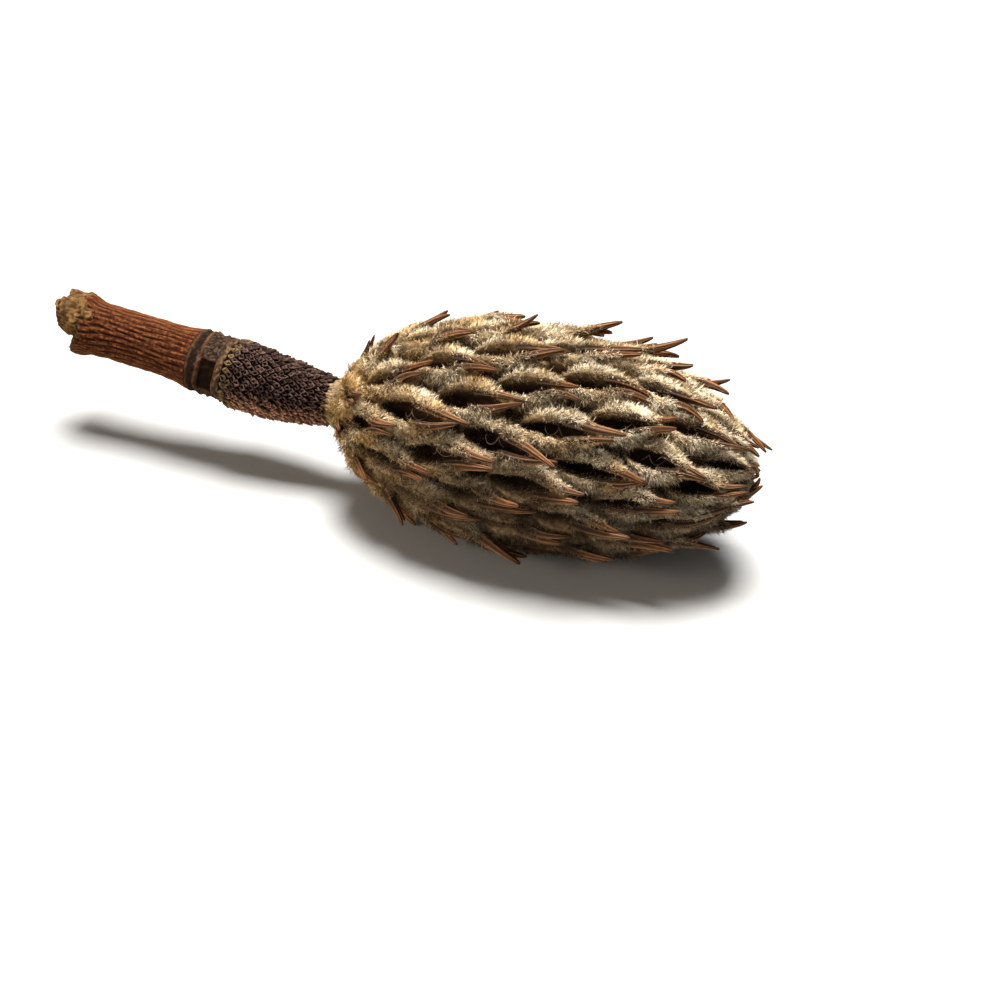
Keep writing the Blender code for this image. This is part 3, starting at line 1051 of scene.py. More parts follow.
def make_neck_material():
    """Pale olive ribs over brown grooves, darker towards the underside as painted shade."""
    finish = Finish("ribbed_neck", 0.9, Specular_IOR_Level=0.04)
    rib = finish.patches((0.310, 0.225, 0.125), (0.120, 0.076, 0.038), 900, 0.2)
    tone = finish.mix(finish.spread(finish.value("rib"), 0.15, 0.85), (0.035, 0.020, 0.011), rib)
    return finish.done(tone, finish.fibres((300.0, 2600.0, 2600.0), 0.6, 0.0003))


finish_piece(make_neck(), make_neck_material(), "wool")

# %% [markdown]
# ## The wool
# The lips and the skin between them are covered in wool, 1 to 2 mm deep. Particles and hair
# curves don't reach the exported model, so each hair is a tiny bent kite of two triangles. Its
# root is a random place on the skin, with more wool where there is more skin and none in the
# slits. Smooth random waves turn neighbours the same way, which mats the hairs into tufts.

# %% Roots and directions
HAIR_COUNT = 290000
BEAK_HAIR_COUNT = 85000
NECK_HAIR_COUNT = 9000
HAIR_PIECES = 4
HAIR_LENGTH = (0.0009, 0.0019)
HAIR_WIDTH = (0.00006, 0.00012)
STRAY_SHARE = 0.06
TUFT_SPACING = 0.00055
CLEAR_OF_TABLE = 0.0003


def triangles_of(mesh):
    """The corners of the mesh's triangles, as rows of three point numbers."""
    mesh.calc_loop_triangles()
    corners = np.empty(3 * len(mesh.loop_triangles), dtype=np.int64)
    mesh.loop_triangles.foreach_get("vertices", corners)
    return corners.reshape(-1, 3)


def point_normals(mesh):
    normals = np.empty(3 * len(mesh.vertices))
    mesh.vertices.foreach_get("normal", normals)
    return normals.reshape(-1, 3)


def scatter(mesh, weights, count, rng):
    """Random places on a mesh, by area times weight, each with its normal and nearest point."""
    points = get_points(mesh)
    corners = triangles_of(mesh)
    sides = points[corners]
    areas = np.linalg.norm(np.cross(sides[:, 1] - sides[:, 0], sides[:, 2] - sides[:, 0]), axis=1)
    chance = np.cumsum(areas * weights[corners].mean(axis=1))
    picked = np.searchsorted(chance, rng.random(count) * chance[-1])
    first = np.sqrt(rng.random(count))
    second = rng.random(count)
    shares = np.column_stack((1 - first, first * (1 - second), first * second))[:, :, None]
    places = (sides[picked] * shares).sum(axis=1)
    normals = unit((point_normals(mesh)[corners[picked]] * shares).sum(axis=1))
    nearest = corners[picked, shares[:, :, 0].argmax(axis=1)]
    return places, normals, nearest


def waves(places, length, rng, terms=9):
    """Smooth random directions that change over about this length."""
    total = np.zeros_like(places)
    for _ in range(terms):
        direction = rng.normal(size=3)
        direction *= 2 * math.pi / (length * rng.uniform(0.7, 1.5) * np.linalg.norm(direction))
        phases = rng.uniform(0, 2 * math.pi, 3)
        total += np.sin((places @ direction)[:, None] + phases)
    return total / math.sqrt(terms / 2)


# %% Hairs as kites


def make_hairs(name, places, normals, directions, lengths, widths, rng):
    """One mesh of bent kites: root, two sides at half length, and tip. They are shaded by the
    skin under them as much as by their own faces, as matted wool is."""
    count = len(places)
    curl = unit(directions + 0.45 * rng.normal(size=(count, 3)))
    across = unit(np.cross(directions, rng.normal(size=(count, 3)))) * widths[:, None] / 2
    middle = places + directions * lengths[:, None] * 0.5
    tip = middle + curl * lengths[:, None] * 0.5
    facing = unit(np.cross(directions, across))
    flip = np.where((facing * normals).sum(axis=1) < 0, -1.0, 1.0)[:, None]
    across *= flip
    points = np.stack((places, middle - across, middle + across, tip), axis=1).reshape(-1, 3)
    points[:, 2] = np.maximum(points[:, 2], LOWEST)
    first = 4 * np.arange(count)[:, None]
    faces = np.concatenate((first + np.array((0, 1, 2)), first + np.array((1, 3, 2))), axis=1).reshape(-1, 3)
    mesh = bpy.data.meshes.new(name)
    mesh.from_pydata(points, [], faces)
    mesh.shade_smooth()
    mesh.normals_split_custom_set_from_vertices(np.repeat(unit(normals + 0.7 * facing * flip), 4, axis=0))
    return new_object(name, mesh)


def tufts(places, rng):
    """The middle of the hairs that share a small cell, and one random number for each cell."""
    cells = np.floor((places + 0.25 * TUFT_SPACING * rng.normal(size=places.shape)) / TUFT_SPACING)
    _, owner = np.unique(cells.astype(np.int64) @ np.array((1, 4096, 4096**2)), return_inverse=True)
    sizes = np.bincount(owner)
    centres = np.column_stack([np.bincount(owner, places[:, axis]) / sizes for axis in range(3)])
    return centres[owner], rng.normal(size=len(sizes))[owner]


# %% Where the hairs grow
Roots = namedtuple("Roots", "places normals aside crest front")


def roots_on_skin(count, rng):
    """Roots on the skin: fewer in the valleys and where a beak begins, and none in the slits."""
    along = (skin_places[:, 0] - CHAMBER_MIDDLE) / CHAMBER_HALF_LENGTH
    brink = 1 - smooth_step(np.hypot(0.86 * along, skin_places[:, 1] / CHAMBER_HALF_WIDTH), 1.0, 1.9)
    front = smooth_step(skin_places[:, 0], 0.0045, 0.0080) * smooth_step(skin_places[:, 2], 0.0, 0.0012)
    weights = (1 - smooth_step(hollow, 0.04, 0.22)) * (0.55 + 0.45 * skin_crest) * (1 - 0.5 * front)
    places, normals, nearest = scatter(skin.data, weights, count, rng)
    aside = skin_aside[nearest] * brink[nearest, None]
    return Roots(places, normals, aside, skin_crest[nearest], front[nearest])


def roots_on_beaks(count, rng):
    """Roots on the lower part of each prong, thinning out along it, and none inside the slit."""
    along = np.tile(prong_points[:, 0], 2 * len(pod)).astype(np.float32).astype(float)
    bare_from = np.repeat(rng.uniform(0.42, 0.74, 2 * len(pod)), len(prong_points))
    away = np.concatenate((prong_points[:, 1] < 0.2, prong_points[:, 1] > -0.2))
    outer = np.tile(away & np.tile(prong_points[:, 2] > -0.4, 2), len(pod))
    weights = (1 - smooth_step(along, bare_from - 0.18, bare_from)) * outer
    places, normals, nearest = scatter(beaks.data, weights, count, rng)
    front = along[nearest] / bare_from[nearest]
    return Roots(places, normals, np.zeros_like(places), np.ones(count), 0.15 + 0.7 * front)


def roots_at_neck(count, rng):
    """Roots on the neck, whose long hairs lie flat towards the cone."""
    angles = rng.uniform(0, 2 * math.pi, count)
    along = rng.uniform(NECK_BACK, NECK_FRONT, count)
    outward = np.column_stack((np.zeros(count), np.cos(angles), np.sin(angles)))
    places = outward * sleeve_radius(along)[:, None]
    places[:, 0] = along
    turn = np.array(POD_POSE.to_3x3()).T
    flat = np.zeros_like(places)
    return Roots(moved(places, POD_POSE), outward @ turn, flat, np.full(count, 0.65), np.zeros(count))


# %% The wool's tones by place


def wool_tones(own, normals, crest, front, neck, mats, fields, tuft_tones, rng):
    """How pale, how golden and how shaded each hair is, from 0 to 1. Paleness is bleaching and tone,
    less painted shade on hairs that face downwards and on hairs in the valleys between the lips. The
    last value is painted shade on the lower half of the pod, away from the neck.
    """
    # Painted shade: hairs that face downwards are made darker.
    low_side = smooth_step(-normals[:, 2], -0.90, 0.20)
    stalkward = 1 - smooth_step(own[:, 0], 0.0, 0.055)
    tip = smooth_step(own[:, 0], 0.050, 0.080)
    shoulder = 1 - smooth_step(own[:, 0], 0.008, 0.026)
    # Painted shade: hairs on the lower half of the pod, away from the neck, are darkened by this mask.
    sunk = smooth_step(-own[:, 2] / CONE_RADIUS, -0.60, 0.40) * (1 - stalkward) * (1 - 0.5 * tip)
    low_shade = np.clip(0.80 * sunk + 0.15 * fields[:, 0] * sunk, 0, 1)
    shade = 0.50 + 0.07 * mats[:, 0] + 0.10 * fields[:, 1] + 0.13 * tuft_tones
    # The crest term is painted shade: hairs in the valleys between the lips are darker.
    shade += 0.18 * rng.normal(size=len(own)) + 0.46 * (crest - 0.5)
    shade += 0.12 * stalkward + 0.20 * shoulder + 0.40 * tip
    # The low_side and sunk terms here are painted shade.
    shade -= 0.20 * front + 0.40 * low_side * (1 - 0.5 * stalkward) + 0.20 * sunk + 0.14 * neck
    gold = 0.10 + 0.15 * neck + 0.32 * stalkward + 0.24 * fields[:, 2] + 0.35 * front
    gold += low_side * (0.20 + 0.35 * stalkward) - 0.16 * tip
    return {"shade": np.clip(shade, 0, 1), "gold": np.clip(gold, 0, 1), "low_shade": low_shade}


# %% The whole coat


def make_wool():
    """The whole coat, in several pieces by place along the pod. Hairs lean to the tip and away
    from the slits, and a tuft's hairs lean together."""
    rng = np.random.default_rng(SEED)
    thin = 1
    sets = (
        roots_on_skin(HAIR_COUNT // thin, rng),
        roots_on_beaks(BEAK_HAIR_COUNT // thin, rng),
        roots_at_neck(NECK_HAIR_COUNT // thin, rng),
    )
    places, normals, aside, crest, front = (np.concatenate(values) for values in zip(*sets))
    kept = places[:, 2] > CLEAR_OF_TABLE
    places, normals, aside, crest, front = (row[kept] for row in (places, normals, aside, crest, front))
    own = moved(places, POD_POSE.inverted())
    tipward = unit(POD_AXIS - normals * (normals @ POD_AXIS)[:, None])
    neck = 1 - smooth_step(own[:, 0], 0.004, 0.013)
    brink = np.linalg.norm(aside, axis=1)
    mats = waves(places, 0.0024, rng)
    fields = waves(places, 0.0080, rng)
    lengths = rng.uniform(*HAIR_LENGTH, len(places))
    lengths *= (1 + neck) * (1 - 0.45 * front) * (1 - 0.52 * brink) * (0.66 + 0.34 * crest)
    lengths *= np.where(rng.random(len(places)) < STRAY_SHARE, 1.5, 1.0)
    widths = rng.uniform(*HAIR_WIDTH, len(places)) * (1 + 0.3 * neck)
    centres, tuft_tones = tufts(places, rng)
    directions = unit(
        normals * (0.80 - 0.66 * neck)[:, None]
        + tipward * (0.40 + 0.75 * neck + 0.45 * front)[:, None]
        + 0.75 * aside
        + 0.14 * mats
        + 0.14 * fields
        + (0.26 - 0.12 * neck)[:, None] * rng.normal(size=places.shape)
        + 0.48 * (centres - places) / lengths[:, None]
    )
    tones = wool_tones(own, normals, crest, front, neck, mats, fields, tuft_tones, rng)
    order = np.argsort(own[:, 0])
    pieces = []
    for number, chosen in enumerate(np.array_split(order, HAIR_PIECES)):
        piece = make_hairs(
            f"wool_{number + 1}", places[chosen], normals[chosen], directions[chosen],
            lengths[chosen], widths[chosen], rng,
        )
        set_values(piece, along=np.tile((0.0, 0.5, 0.5, 1.0), len(chosen)))
        set_values(piece, **{name: np.repeat(values[chosen], 4) for name, values in tones.items()})
        pieces.append(piece)
    return pieces


# %% [markdown]
# A hair is olive-brown at its root and cream at its tip, where bleaching has paled it; its dark
# root also stands for painted shade deep in the pile. The upper side of the pod is a greyish cream,
# and palest at the tip. The neck and the lower side, which the weather reaches less, have kept their
# golden brown. Hairs that face downwards, hairs in the valleys between the lips and hairs on the
# lower half of the pod are darkened with painted shade.

# %% The wool's material


def make_wool_material():
    """Olive-brown roots and pale tips, from cream to gold, and darker where painted shade lies on the
    lower half of the pod.
    """
    finish = Finish("wool_hairs", 0.9, Specular_IOR_Level=0.08)
    along = finish.value("along")
    cream = finish.mix(finish.value("shade"), (0.100, 0.068, 0.036), (0.80, 0.68, 0.49))
    golden = finish.mix(finish.value("shade"), (0.082, 0.040, 0.015), (0.66, 0.43, 0.17))
    clean = finish.mix(finish.value("gold"), cream, golden)
    # Painted shade on the lower half of the pod darkens the tips.
    tips = finish.mix(finish.value("low_shade"), clean, (0.050, 0.030, 0.018))
    # The root tone is partly the hair's own olive-brown and partly painted shade deep in the pile.
    roots = finish.mix(finish.value("gold"), (0.115, 0.078, 0.038), (0.095, 0.048, 0.020))
    return finish.done(finish.mix(finish.spread(along, 0.0, 0.6), roots, tips))


wool_material = make_wool_material()
for piece in make_wool():
    finish_piece(piece, wool_material, "wool")

# %% [markdown]
# ## The bend of the stalk
# The stalk's pieces are modelled straight along X and bent at the end, all by the same rule, so
# they meet as they do in the plain model.

# %% Bending and placing a straight piece
NECK_TAPER = 0.0009


def bend_stalk(points):
    """Bends straight points upwards: the turn builds up along the scar zone, and a slight bow
    lifts the middle."""
    back = -points[:, 0]
    steps = 24
    run = np.zeros_like(back)
    climb = np.zeros_like(back)
    for step in range(steps):
        turn = STALK_BEND * smooth_step(back * (step + 0.5) / steps, 0, SCAR_ZONE_LENGTH)
        run -= np.cos(turn) * back / steps
        climb += np.sin(turn) * back / steps
    turn = STALK_BEND * smooth_step(back, 0, SCAR_ZONE_LENGTH)
    bow = STALK_BOW * np.sin(math.pi * np.clip(back / (RING_END + PEDUNCLE_LENGTH), 0, 1))
    lifted = climb + bow + np.cos(turn) * points[:, 2]
    return np.column_stack((run + np.sin(turn) * points[:, 2], points[:, 1], lifted))


def place_stalk(obj):
    """Bends a straight piece and moves it into the pod's place."""
    set_points(obj.data, moved(bend_stalk(get_points(obj.data)), POD_POSE))


def scar_zone_radius(back):
    """Radius between the scales at this distance behind the neck."""
    share = min(max(back / SCAR_ZONE_LENGTH, 0.0), 1.0)
    return NECK_RADIUS + (SCAR_ZONE_RADIUS - NECK_RADIUS) * math.sin(math.pi / 2 * share**0.8)


def zone_radius(back):
    """The same radius, less what the scoops stand proud where the zone narrows to the neck."""
    share = min(max(back / SCAR_ZONE_LENGTH, 0.0), 1.0)
    return scar_zone_radius(back) - NECK_TAPER * (1 - share) ** 1.5


print("neck joins the scar zone at radius", round(zone_radius(0), 5))

# %% [markdown]
# ## The scar zone
# Hundreds of stamens grew behind the neck, and each left a small dark scoop with a paler lip. One
# scoop is modelled from a cube that stands on its edge: its top is inset and pushed in, its front
# corner is pulled up, and it is stretched to a rhombus. The copies stand in a close spiral on a
# turned body, and waves of place bend them out of their perfect order.

# %% One scoop, modelled from a cube
SCOOP_SIDE = 0.00106
SCOOP_STRETCH = 1.30
SCOOP_HEIGHT = 0.00085


def model_scoop():
    """A rhombic scoop on its own frame: X towards the cone, Z outwards, its top at z = 0.0006."""
    bpy.ops.mesh.primitive_cube_add(
        size=1, location=(0, 0, 0.0001), rotation=(0, 0, math.pi / 4),
        scale=(SCOOP_SIDE, SCOOP_SIDE, SCOOP_HEIGHT),
    )
    obj = bpy.context.object
    bpy.ops.object.transform_apply(location=True, rotation=True, scale=True)
    start_editing(obj)
    select_faces(obj, lambda centre, normal: normal.z > 0.9)
    extrude((0.00006, 0, 0.00012), (0.86, 0.86, 1), (0.0001, 0, 0))
    bpy.ops.mesh.inset(thickness=0.00015)
    extrude((-0.00008, 0, -0.00042), (0.7, 0.7, 1), (0, 0, 0))
    stop_editing()
    points = get_points(obj.data)
    front = smooth_step(points[:, 0], -0.0004, 0.0006) * (points[:, 2] > 0.0002)
    points[:, 2] += 0.00036 * front
    points[:, 0] = SCOOP_STRETCH * points[:, 0] + 0.00010 * front
    set_points(obj.data, points)
    return obj


scoop_points, scoop_faces = take_model(model_scoop())
print("scoop:", len(scoop_points), "points,", len(scoop_faces), "faces")

# %% The turned body and its spiral of scoops
SCOOPS_ROUND = 27
SCOOP_ROWS = 21
ZONE_SIDES = 64
ZONE_STATIONS = 24
JOIN_OVERLAP = 0.0002
SCOOP_UNREST = 0.00009


def make_scar_zone():
    """The dark body under the scoops."""
    end = -SCAR_ZONE_LENGTH - JOIN_OVERLAP
    zone = turned_between(
        "scar_zone_body", -NODE_GAP, end, ZONE_STATIONS, ZONE_SIDES, lambda place: zone_radius(-place),
    )
    place_stalk(zone)
    return zone


def make_scoops():
    """Every scoop in one piece, each turned, sized and raised a little differently."""
    rng = random.Random(SEED + 4)
    copies = []
    marks = []
    spacing = (SCAR_ZONE_LENGTH - 0.0012) / SCOOP_ROWS
    for row in range(SCOOP_ROWS):
        for column in range(SCOOPS_ROUND):
            turn = 2 * math.pi * (column + 0.5 * (row % 2) + 0.16 * row) / SCOOPS_ROUND
            turn += rng.uniform(-0.025, 0.025)
            back = 0.0006 + spacing * (row + 0.5) + rng.uniform(-0.00014, 0.00014)
            radius = zone_radius(back)
            fit = radius / SCAR_ZONE_RADIUS * rng.uniform(0.88, 1.14)
            place = Matrix.Translation((-back, 0, 0)) @ Matrix.Rotation(turn, 4, "X")
            place = place @ Matrix.Translation((0, 0, radius + rng.uniform(-0.00010, 0.00012)))
            place = place @ Matrix.Rotation(rng.uniform(-0.16, 0.16), 4, "Z")
            place = place @ Matrix.Rotation(rng.uniform(-0.12, 0.20), 4, "Y")
            place = place @ Matrix.Diagonal((1.0, fit, rng.uniform(0.8, 1.2), 1.0))
            copies.append(moved(scoop_points, place))
            shade = rng.random()
            # Partly the scars' own rusty colour and partly painted light: lips on the underside are paler
            # and redder.
            rust = smooth_step(-math.cos(turn), -0.25, 0.40)
            crust = smooth_step(back + rng.uniform(-0.0012, 0.0012), 0.0215, 0.0232)
            marks.append((shade, rust, crust))
    scoops = joined_copies("stamen_scars", scoop_faces, copies)
    points = get_points(scoops.data)
    points += SCOOP_UNREST * waves(points, 0.0011, np.random.default_rng(SEED + 7))
    set_points(scoops.data, points)
    scoops.data.shade_smooth()
    place_stalk(scoops)
    lip = smooth_step(scoop_points[:, 2], 0.00045, 0.00092)
    set_values(scoops, lip=np.tile(lip, len(copies)))
    marks = zip(("shade", "rust", "crust"), zip(*marks))
    set_values(scoops, **{name: np.repeat(values, len(scoop_points)) for name, values in marks})
    return scoops


def make_scale_material():
    """Dark purple-brown scoops with mauve-grey lips, and a tan crust beside the ring. Lips on the
    underside are paler and redder: a rusty colour and painted light.
    """
    finish = Finish("stamen_scar_bark", 0.80, Specular_IOR_Level=0.03)
    shade = finish.value("shade")
    pit = finish.mix(shade, (0.005, 0.0025, 0.002), (0.016, 0.007, 0.005))
    lip = finish.mix(shade, (0.026, 0.015, 0.012), (0.148, 0.094, 0.073))
    # Painted light with a rusty colour on the lips of the underside.
    rusty = finish.mix(finish.value("rust"), lip, (0.600, 0.300, 0.180))
    rough_lip = finish.patches(rusty, (0.030, 0.015, 0.012), 1500, 0.2)
    edge = finish.spread(finish.value("lip"), 0.15, 0.95)
    scoop = finish.mix(edge, pit, rough_lip)
    tan = finish.patches((0.16, 0.108, 0.050), (0.040, 0.024, 0.013), 1100, 0.15)
    grain = finish.fibres((2200.0, 2200.0, 2200.0), 0.5, 0.0002)
    return finish.done(finish.mix(finish.value("crust"), scoop, tan), grain)


scale_material = make_scale_material()
scar_body = make_scar_zone()
plain = np.zeros(len(scar_body.data.vertices))
set_values(scar_body, lip=plain, shade=plain, crust=plain, rust=plain)
finish_piece(scar_body, scale_material, "scales", "scar_zone")
finish_piece(make_scoops(), scale_material, "scales")

# %% [markdown]
# ## The scar ring
# The petals left a swollen ring with two narrow collars. Between them lie flat dark panes, one
# for each petal's foot, and wrinkled grey patches. The ring is a turned body with a fine mesh,
# and rules of place raise its collars, sink its panes and crease its patches.

# %% The ring by rules
RING_SIDES = 168
RING_STATIONS = 46
PANES = ((math.radians(134), math.radians(210)), (math.radians(-36), math.radians(44)))


def ring_mark(back, place, width):
    """1 on a narrow band round the ring at this place, fading out over its width."""
    return np.exp(-(((back - place) / width) ** 2))


def pane_mask(back, angle):
    """1 inside the panes and 0 on the patches between them."""
    inside = np.zeros_like(back)
    for low, high in PANES:
        middle, half = (low + high) / 2, (high - low) / 2
        away = np.abs((angle - middle + math.pi) % (2 * math.pi) - math.pi)
        inside = np.maximum(inside, 1 - smooth_step(away, half - 0.10, half))
    within = smooth_step(back, 0.0012, 0.0018) * (1 - smooth_step(back, 0.0050, 0.0054))
    return inside * within


def make_ring():
    """A plain turned ring whose radius is then set by the rules."""
    rng = np.random.default_rng(SEED + 5)
    ring = turned_between(
        "petal_scar_ring", -SCAR_ZONE_LENGTH, -RING_END, RING_STATIONS, RING_SIDES,
        lambda place: SCAR_RING_RADIUS,
    )
    points = get_points(ring.data)
    outer = np.hypot(points[:, 1], points[:, 2]) > 0.001
    back = -points[:, 0] - SCAR_ZONE_LENGTH
    angle = np.arctan2(points[:, 2], points[:, 1])
    wander = 0.00022 * np.sin(3 * angle + 1.0) + 0.00012 * np.sin(7 * angle)
    pane = pane_mask(back + wander, angle)
    collars = (
        0.9 * ring_mark(back + wander, 0.0056, 0.00032)
        + 0.7 * ring_mark(back, SCAR_RING_LENGTH - 0.0006, 0.00035)
        + 0.8 * ring_mark(back + 2 * wander, 0.0007, 0.00045)
    )
    crease_noise = waves(points, 0.0016, rng)
    creases = np.abs(crease_noise[:, 0]) * (1 - pane)
    edge = 4 * pane * (1 - pane)
    radius = SCAR_RING_RADIUS * 0.985 + 0.00042 * collars - 0.00028 * pane + 0.00022 * edge
    radius += 0.00020 * (creases - 0.6) * (1 - smooth_step(back, 0.0052, 0.0060))
    radius += 0.00006 * crease_noise[:, 1]
    radius = np.where(outer, radius, 0.0)
    points[:, 1] = radius * np.cos(angle)
    points[:, 2] = radius * np.sin(angle)
    set_points(ring.data, points)
    place_stalk(ring)
    crust = np.exp(-((back / 0.0009) ** 2)) * (0.65 + 0.5 * crease_noise[:, 2]) * (1 - pane)
    crease = creases * (1 - 0.75 * smooth_step(back, 0.0058, 0.0064))
    ridge = np.clip(collars + 0.7 * edge, 0, 1)
    set_values(ring, pane=pane, ridge=ridge, crust=np.clip(crust, 0, 1), crease=np.clip(crease, 0, 1))
    return ring


def make_ring_material():
    """Grey-brown bark: olive-dark panes, pale ridges rubbed by wear and a tan crust at one border."""
    finish = Finish("petal_scar_bark", 0.85, Specular_IOR_Level=0.02)
    creased = finish.spread(finish.value("crease"), 0.25, 1.25)
    patch = finish.mix(creased, (0.007, 0.0038, 0.0024), (0.105, 0.066, 0.045))
    rough = finish.patches(patch, (0.015, 0.0085, 0.0055), 1400, 0.2)
    pane = finish.patches((0.0045, 0.0022, 0.0011), (0.0095, 0.0048, 0.0024), 600, 0.2)
    body = finish.mix(finish.value("pane"), rough, pane)
    ridge = finish.patches((0.110, 0.055, 0.028), (0.034, 0.015, 0.008), 900, 0.15)
    wear_and_shade = finish.mix(finish.value("ridge"), body, ridge)
    tan = finish.patches((0.16, 0.108, 0.050), (0.040, 0.024, 0.013), 1000, 0.15)
    grain = finish.fibres((1400.0, 1400.0, 1400.0), 0.6, 0.0002)
    return finish.done(finish.mix(finish.value("crust"), wear_and_shade, tan), grain)


finish_piece(make_ring(), make_ring_material(), "grey_bark", "scar_ring")

# %% [markdown]
# ## The stalk's bark
# The bark shrank into long wavy ridges as it dried. The stalk is a turned body with a fine mesh.
# Ridges are cosines round it, whose phase wanders along the stalk, so that they run together
# and part again. The height is also kept as a value, which colours crests and grooves: a painted
# highlight on the crests and painted shade in the grooves. The upper back and the underside of the
# stalk are made paler with painted light.

# %% Bark by rules
BARK_SIDES = 200
BARK_STATIONS = 84
BARK_DEPTH = 0.00054
STUB_CUT = 0.0022
STUB_HEEL = 0.0016
KNUCKLE_HEIGHT = 0.0011
HEEL_HEIGHT = 0.0016


def bump_at(back, angle, place, long, turn, wide):
    """1 at one place on the stalk, fading out along it and round it."""
    return np.exp(-(((back - place) / long) ** 2)) * np.exp(-(((angle - turn) / wide) ** 2))


def peduncle_radius(back):
    """Radius under the ridges, this far behind the scar ring: flared at both ends."""
    share = np.clip(back / PEDUNCLE_LENGTH, 0.0, 1.0)
    ring_end = np.exp(-share / 0.12)
    snapped_end = np.exp((share - 1) / 0.16)
    return PEDUNCLE_RADIUS + PEDUNCLE_FLARE * (ring_end + 0.45 * snapped_end)


def bark_height(angle, back):
    """0 in the grooves to 1 on the crests: coarse ridges, finer ones, and breaks in both."""
    drift = 0.22 * np.sin(210 * back + 2 * angle) + 0.12 * np.sin(520 * back + 5 * angle + 1)
    coarse = 0.5 + 0.5 * np.cos(29 * angle + 5.5 * drift + 1.6 * np.sin(3 * angle + 330 * back))
    fine = 0.5 + 0.5 * np.cos(47 * angle - 6.0 * drift + 2.0 * np.sin(5 * angle - 450 * back))
    broken = 0.5 + 0.5 * np.sin(1100 * back + 11 * np.sin(7 * angle) + 3 * np.sin(23 * angle))
    return np.clip(0.50 * coarse**0.8 + 0.36 * fine * (0.4 + 0.6 * broken) + 0.14 * broken, 0, 1)


def make_bark():
    """The ridged stalk, with a heel under its snapped end, which is cut at a slant."""
    bark = turned_between(
        "stalk_bark", -RING_END + JOIN_OVERLAP, -RING_END - PEDUNCLE_LENGTH, BARK_STATIONS, BARK_SIDES,
        lambda place: peduncle_radius(-RING_END - place),
    )
    points = get_points(bark.data)
    outer = np.hypot(points[:, 1], points[:, 2]) > 0.001
    back = -points[:, 0] - RING_END
    angle = np.arctan2(points[:, 2], points[:, 1])
    height = bark_height(angle, back)
    grown = peduncle_radius(back) - 0.00008 + BARK_DEPTH * height
    grown += 0.00016 * np.sin(240 * back + 1.2) * np.cos(2 * angle)
    grown += KNUCKLE_HEIGHT * bump_at(back, angle, 0.0268, 0.0016, 1.25, 0.45)
    grown += HEEL_HEIGHT * bump_at(back, angle, 0.0275, 0.0030, -1.60, 0.55)
    grown = np.where(outer, grown, 0.0)
    points[:, 1] = grown * np.cos(angle)
    points[:, 2] = grown * np.sin(angle)
    torn = smooth_step(back, PEDUNCLE_LENGTH - 0.0012, PEDUNCLE_LENGTH)
    front = smooth_step(-points[:, 1] / PEDUNCLE_RADIUS, 0.1, 0.9)
    under = smooth_step(-points[:, 2] / PEDUNCLE_RADIUS, 0.3, 0.9)
    end = smooth_step(back, PEDUNCLE_LENGTH - 0.009, PEDUNCLE_LENGTH)
    points[:, 0] += (STUB_CUT * front - STUB_HEEL * under) * end
    points[:, 0] += torn * 0.0010 * (height - 0.5 + 0.6 * np.sin(5 * angle))
    set_points(bark.data, points)
    place_stalk(bark)
    # Painted light: paler on the side facing up and back, towards the key light, and on the underside.
    bleached = smooth_step(0.6 * np.sin(angle) + 0.8 * np.cos(angle), 0.18, 0.90)
    bleached += 0.60 * smooth_step(-np.sin(angle), 0.1, 0.8) * (1 - bleached)
    set_values(bark, crest=height, torn=torn, bleached=bleached)
    return bark


def make_bark_material():
    """Orange-brown crests over dark red grooves, as painted highlight and painted shade, with
    paler scuffs and fine fibres, and painted light on the upper back and the underside.
    """
    finish = Finish("stalk_bark", 0.85, Specular_IOR_Level=0.02)
    crest = finish.patches((0.064, 0.0165, 0.0054), (0.035, 0.0088, 0.0030), 420, 0.2)
    # Painted light: the paler tone of the upper back and the underside.
    pale = finish.patches((0.190, 0.066, 0.022), (0.105, 0.031, 0.010), 420, 0.2)
    tone = finish.mix(finish.value("bleached"), crest, pale)
    scuffed = finish.patches(tone, (0.165, 0.062, 0.023), 1300, 0.06)
    groove = finish.patches((0.020, 0.005, 0.0025), (0.009, 0.003, 0.0018), 500, 0.2)
    # Painted shade and highlight: dark in the grooves, lighter on the crests.
    height = finish.spread(finish.value("crest"), 0.22, 0.80)
    fibres = finish.fibres((260.0, 2600.0, 2600.0), 0.6, 0.0003)
    wood = finish.mix(height, groove, scuffed)
    streaked = finish.mix(finish.spread(fibres.outputs["Mask"], 0.0, 2.4), wood, (0.045, 0.013, 0.006))
    torn = finish.patches((0.085, 0.045, 0.021), (0.020, 0.010, 0.006), 1200, 0.15)
    return finish.done(finish.mix(finish.value("torn"), streaked, torn), fibres)


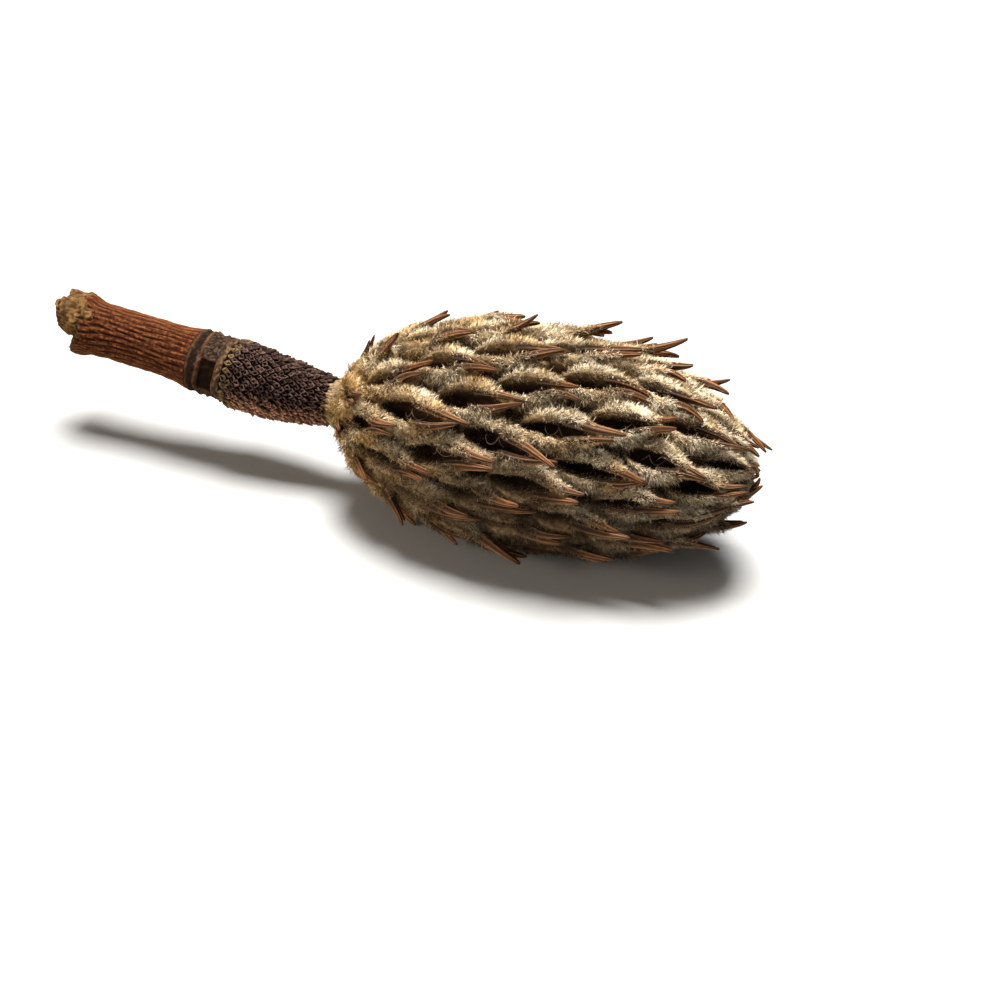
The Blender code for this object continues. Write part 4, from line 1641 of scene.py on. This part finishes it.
finish_piece(make_bark(), make_bark_material(), "orange_bark", "peduncle")

# %% [markdown]
# ## The torn knob
# Where the stalk was snapped from its branch, a knob of paler wood stayed on. It starts as a
# cube with bevelled edges. A Subdivision Surface rounds it, and two sets of waves along its
# normals, broad lumps and fine tears, make it torn wood.

# %% The knob
KNOB_LUMPS = 0.00040
KNOB_TEARS = 0.00014


def make_knob():
    """The knob over the stalk's snapped end, sunk into it as far as the plain one."""
    sunk = KNOB_SIZE[0] / 2 - KNOB_REACH
    place = (-RING_END - PEDUNCLE_LENGTH + sunk, 0, KNOB_RISE)
    bpy.ops.mesh.primitive_cube_add(size=1, location=place, scale=KNOB_SIZE)
    knob = bpy.context.object
    knob.name = "torn_knob"
    bpy.ops.object.transform_apply(location=True, rotation=False, scale=True)
    start_editing(knob)
    bpy.ops.mesh.select_all(action="SELECT")
    bpy.ops.mesh.bevel(offset=0.0018, segments=2, affect="EDGES")
    stop_editing()
    apply_modifier(knob, "SUBSURF", levels=4, render_levels=4)
    rng = np.random.default_rng(SEED + 6)
    points = get_points(knob.data)
    normals = point_normals(knob.data)
    lumps = waves(points, 0.0042, rng)[:, 0]
    stretched = points * np.array((0.6, 1, 1))
    tears = waves(stretched, 0.0008, rng)[:, 0]
    points += normals * (KNOB_LUMPS * lumps + KNOB_TEARS * tears)[:, None]
    set_points(knob.data, points)
    place_stalk(knob)
    set_values(knob, tear=0.5 + 0.35 * tears)
    knob.data.shade_smooth()
    return knob


def make_knob_material():
    """Khaki wood with darker tears."""
    finish = Finish("torn_wood", 0.9, Specular_IOR_Level=0.02)
    light = finish.patches((0.155, 0.086, 0.034), (0.055, 0.027, 0.010), 700, 0.12)
    dark = finish.patches((0.028, 0.012, 0.0045), (0.012, 0.005, 0.002), 800, 0.2)
    height = finish.spread(finish.value("tear"), -0.35, 0.60)
    splinters = finish.fibres((500.0, 2400.0, 2400.0), 0.7, 0.0003)
    return finish.done(finish.mix(height, dark, light), splinters)


finish_piece(make_knob(), make_knob_material(), "orange_bark", "peduncle")
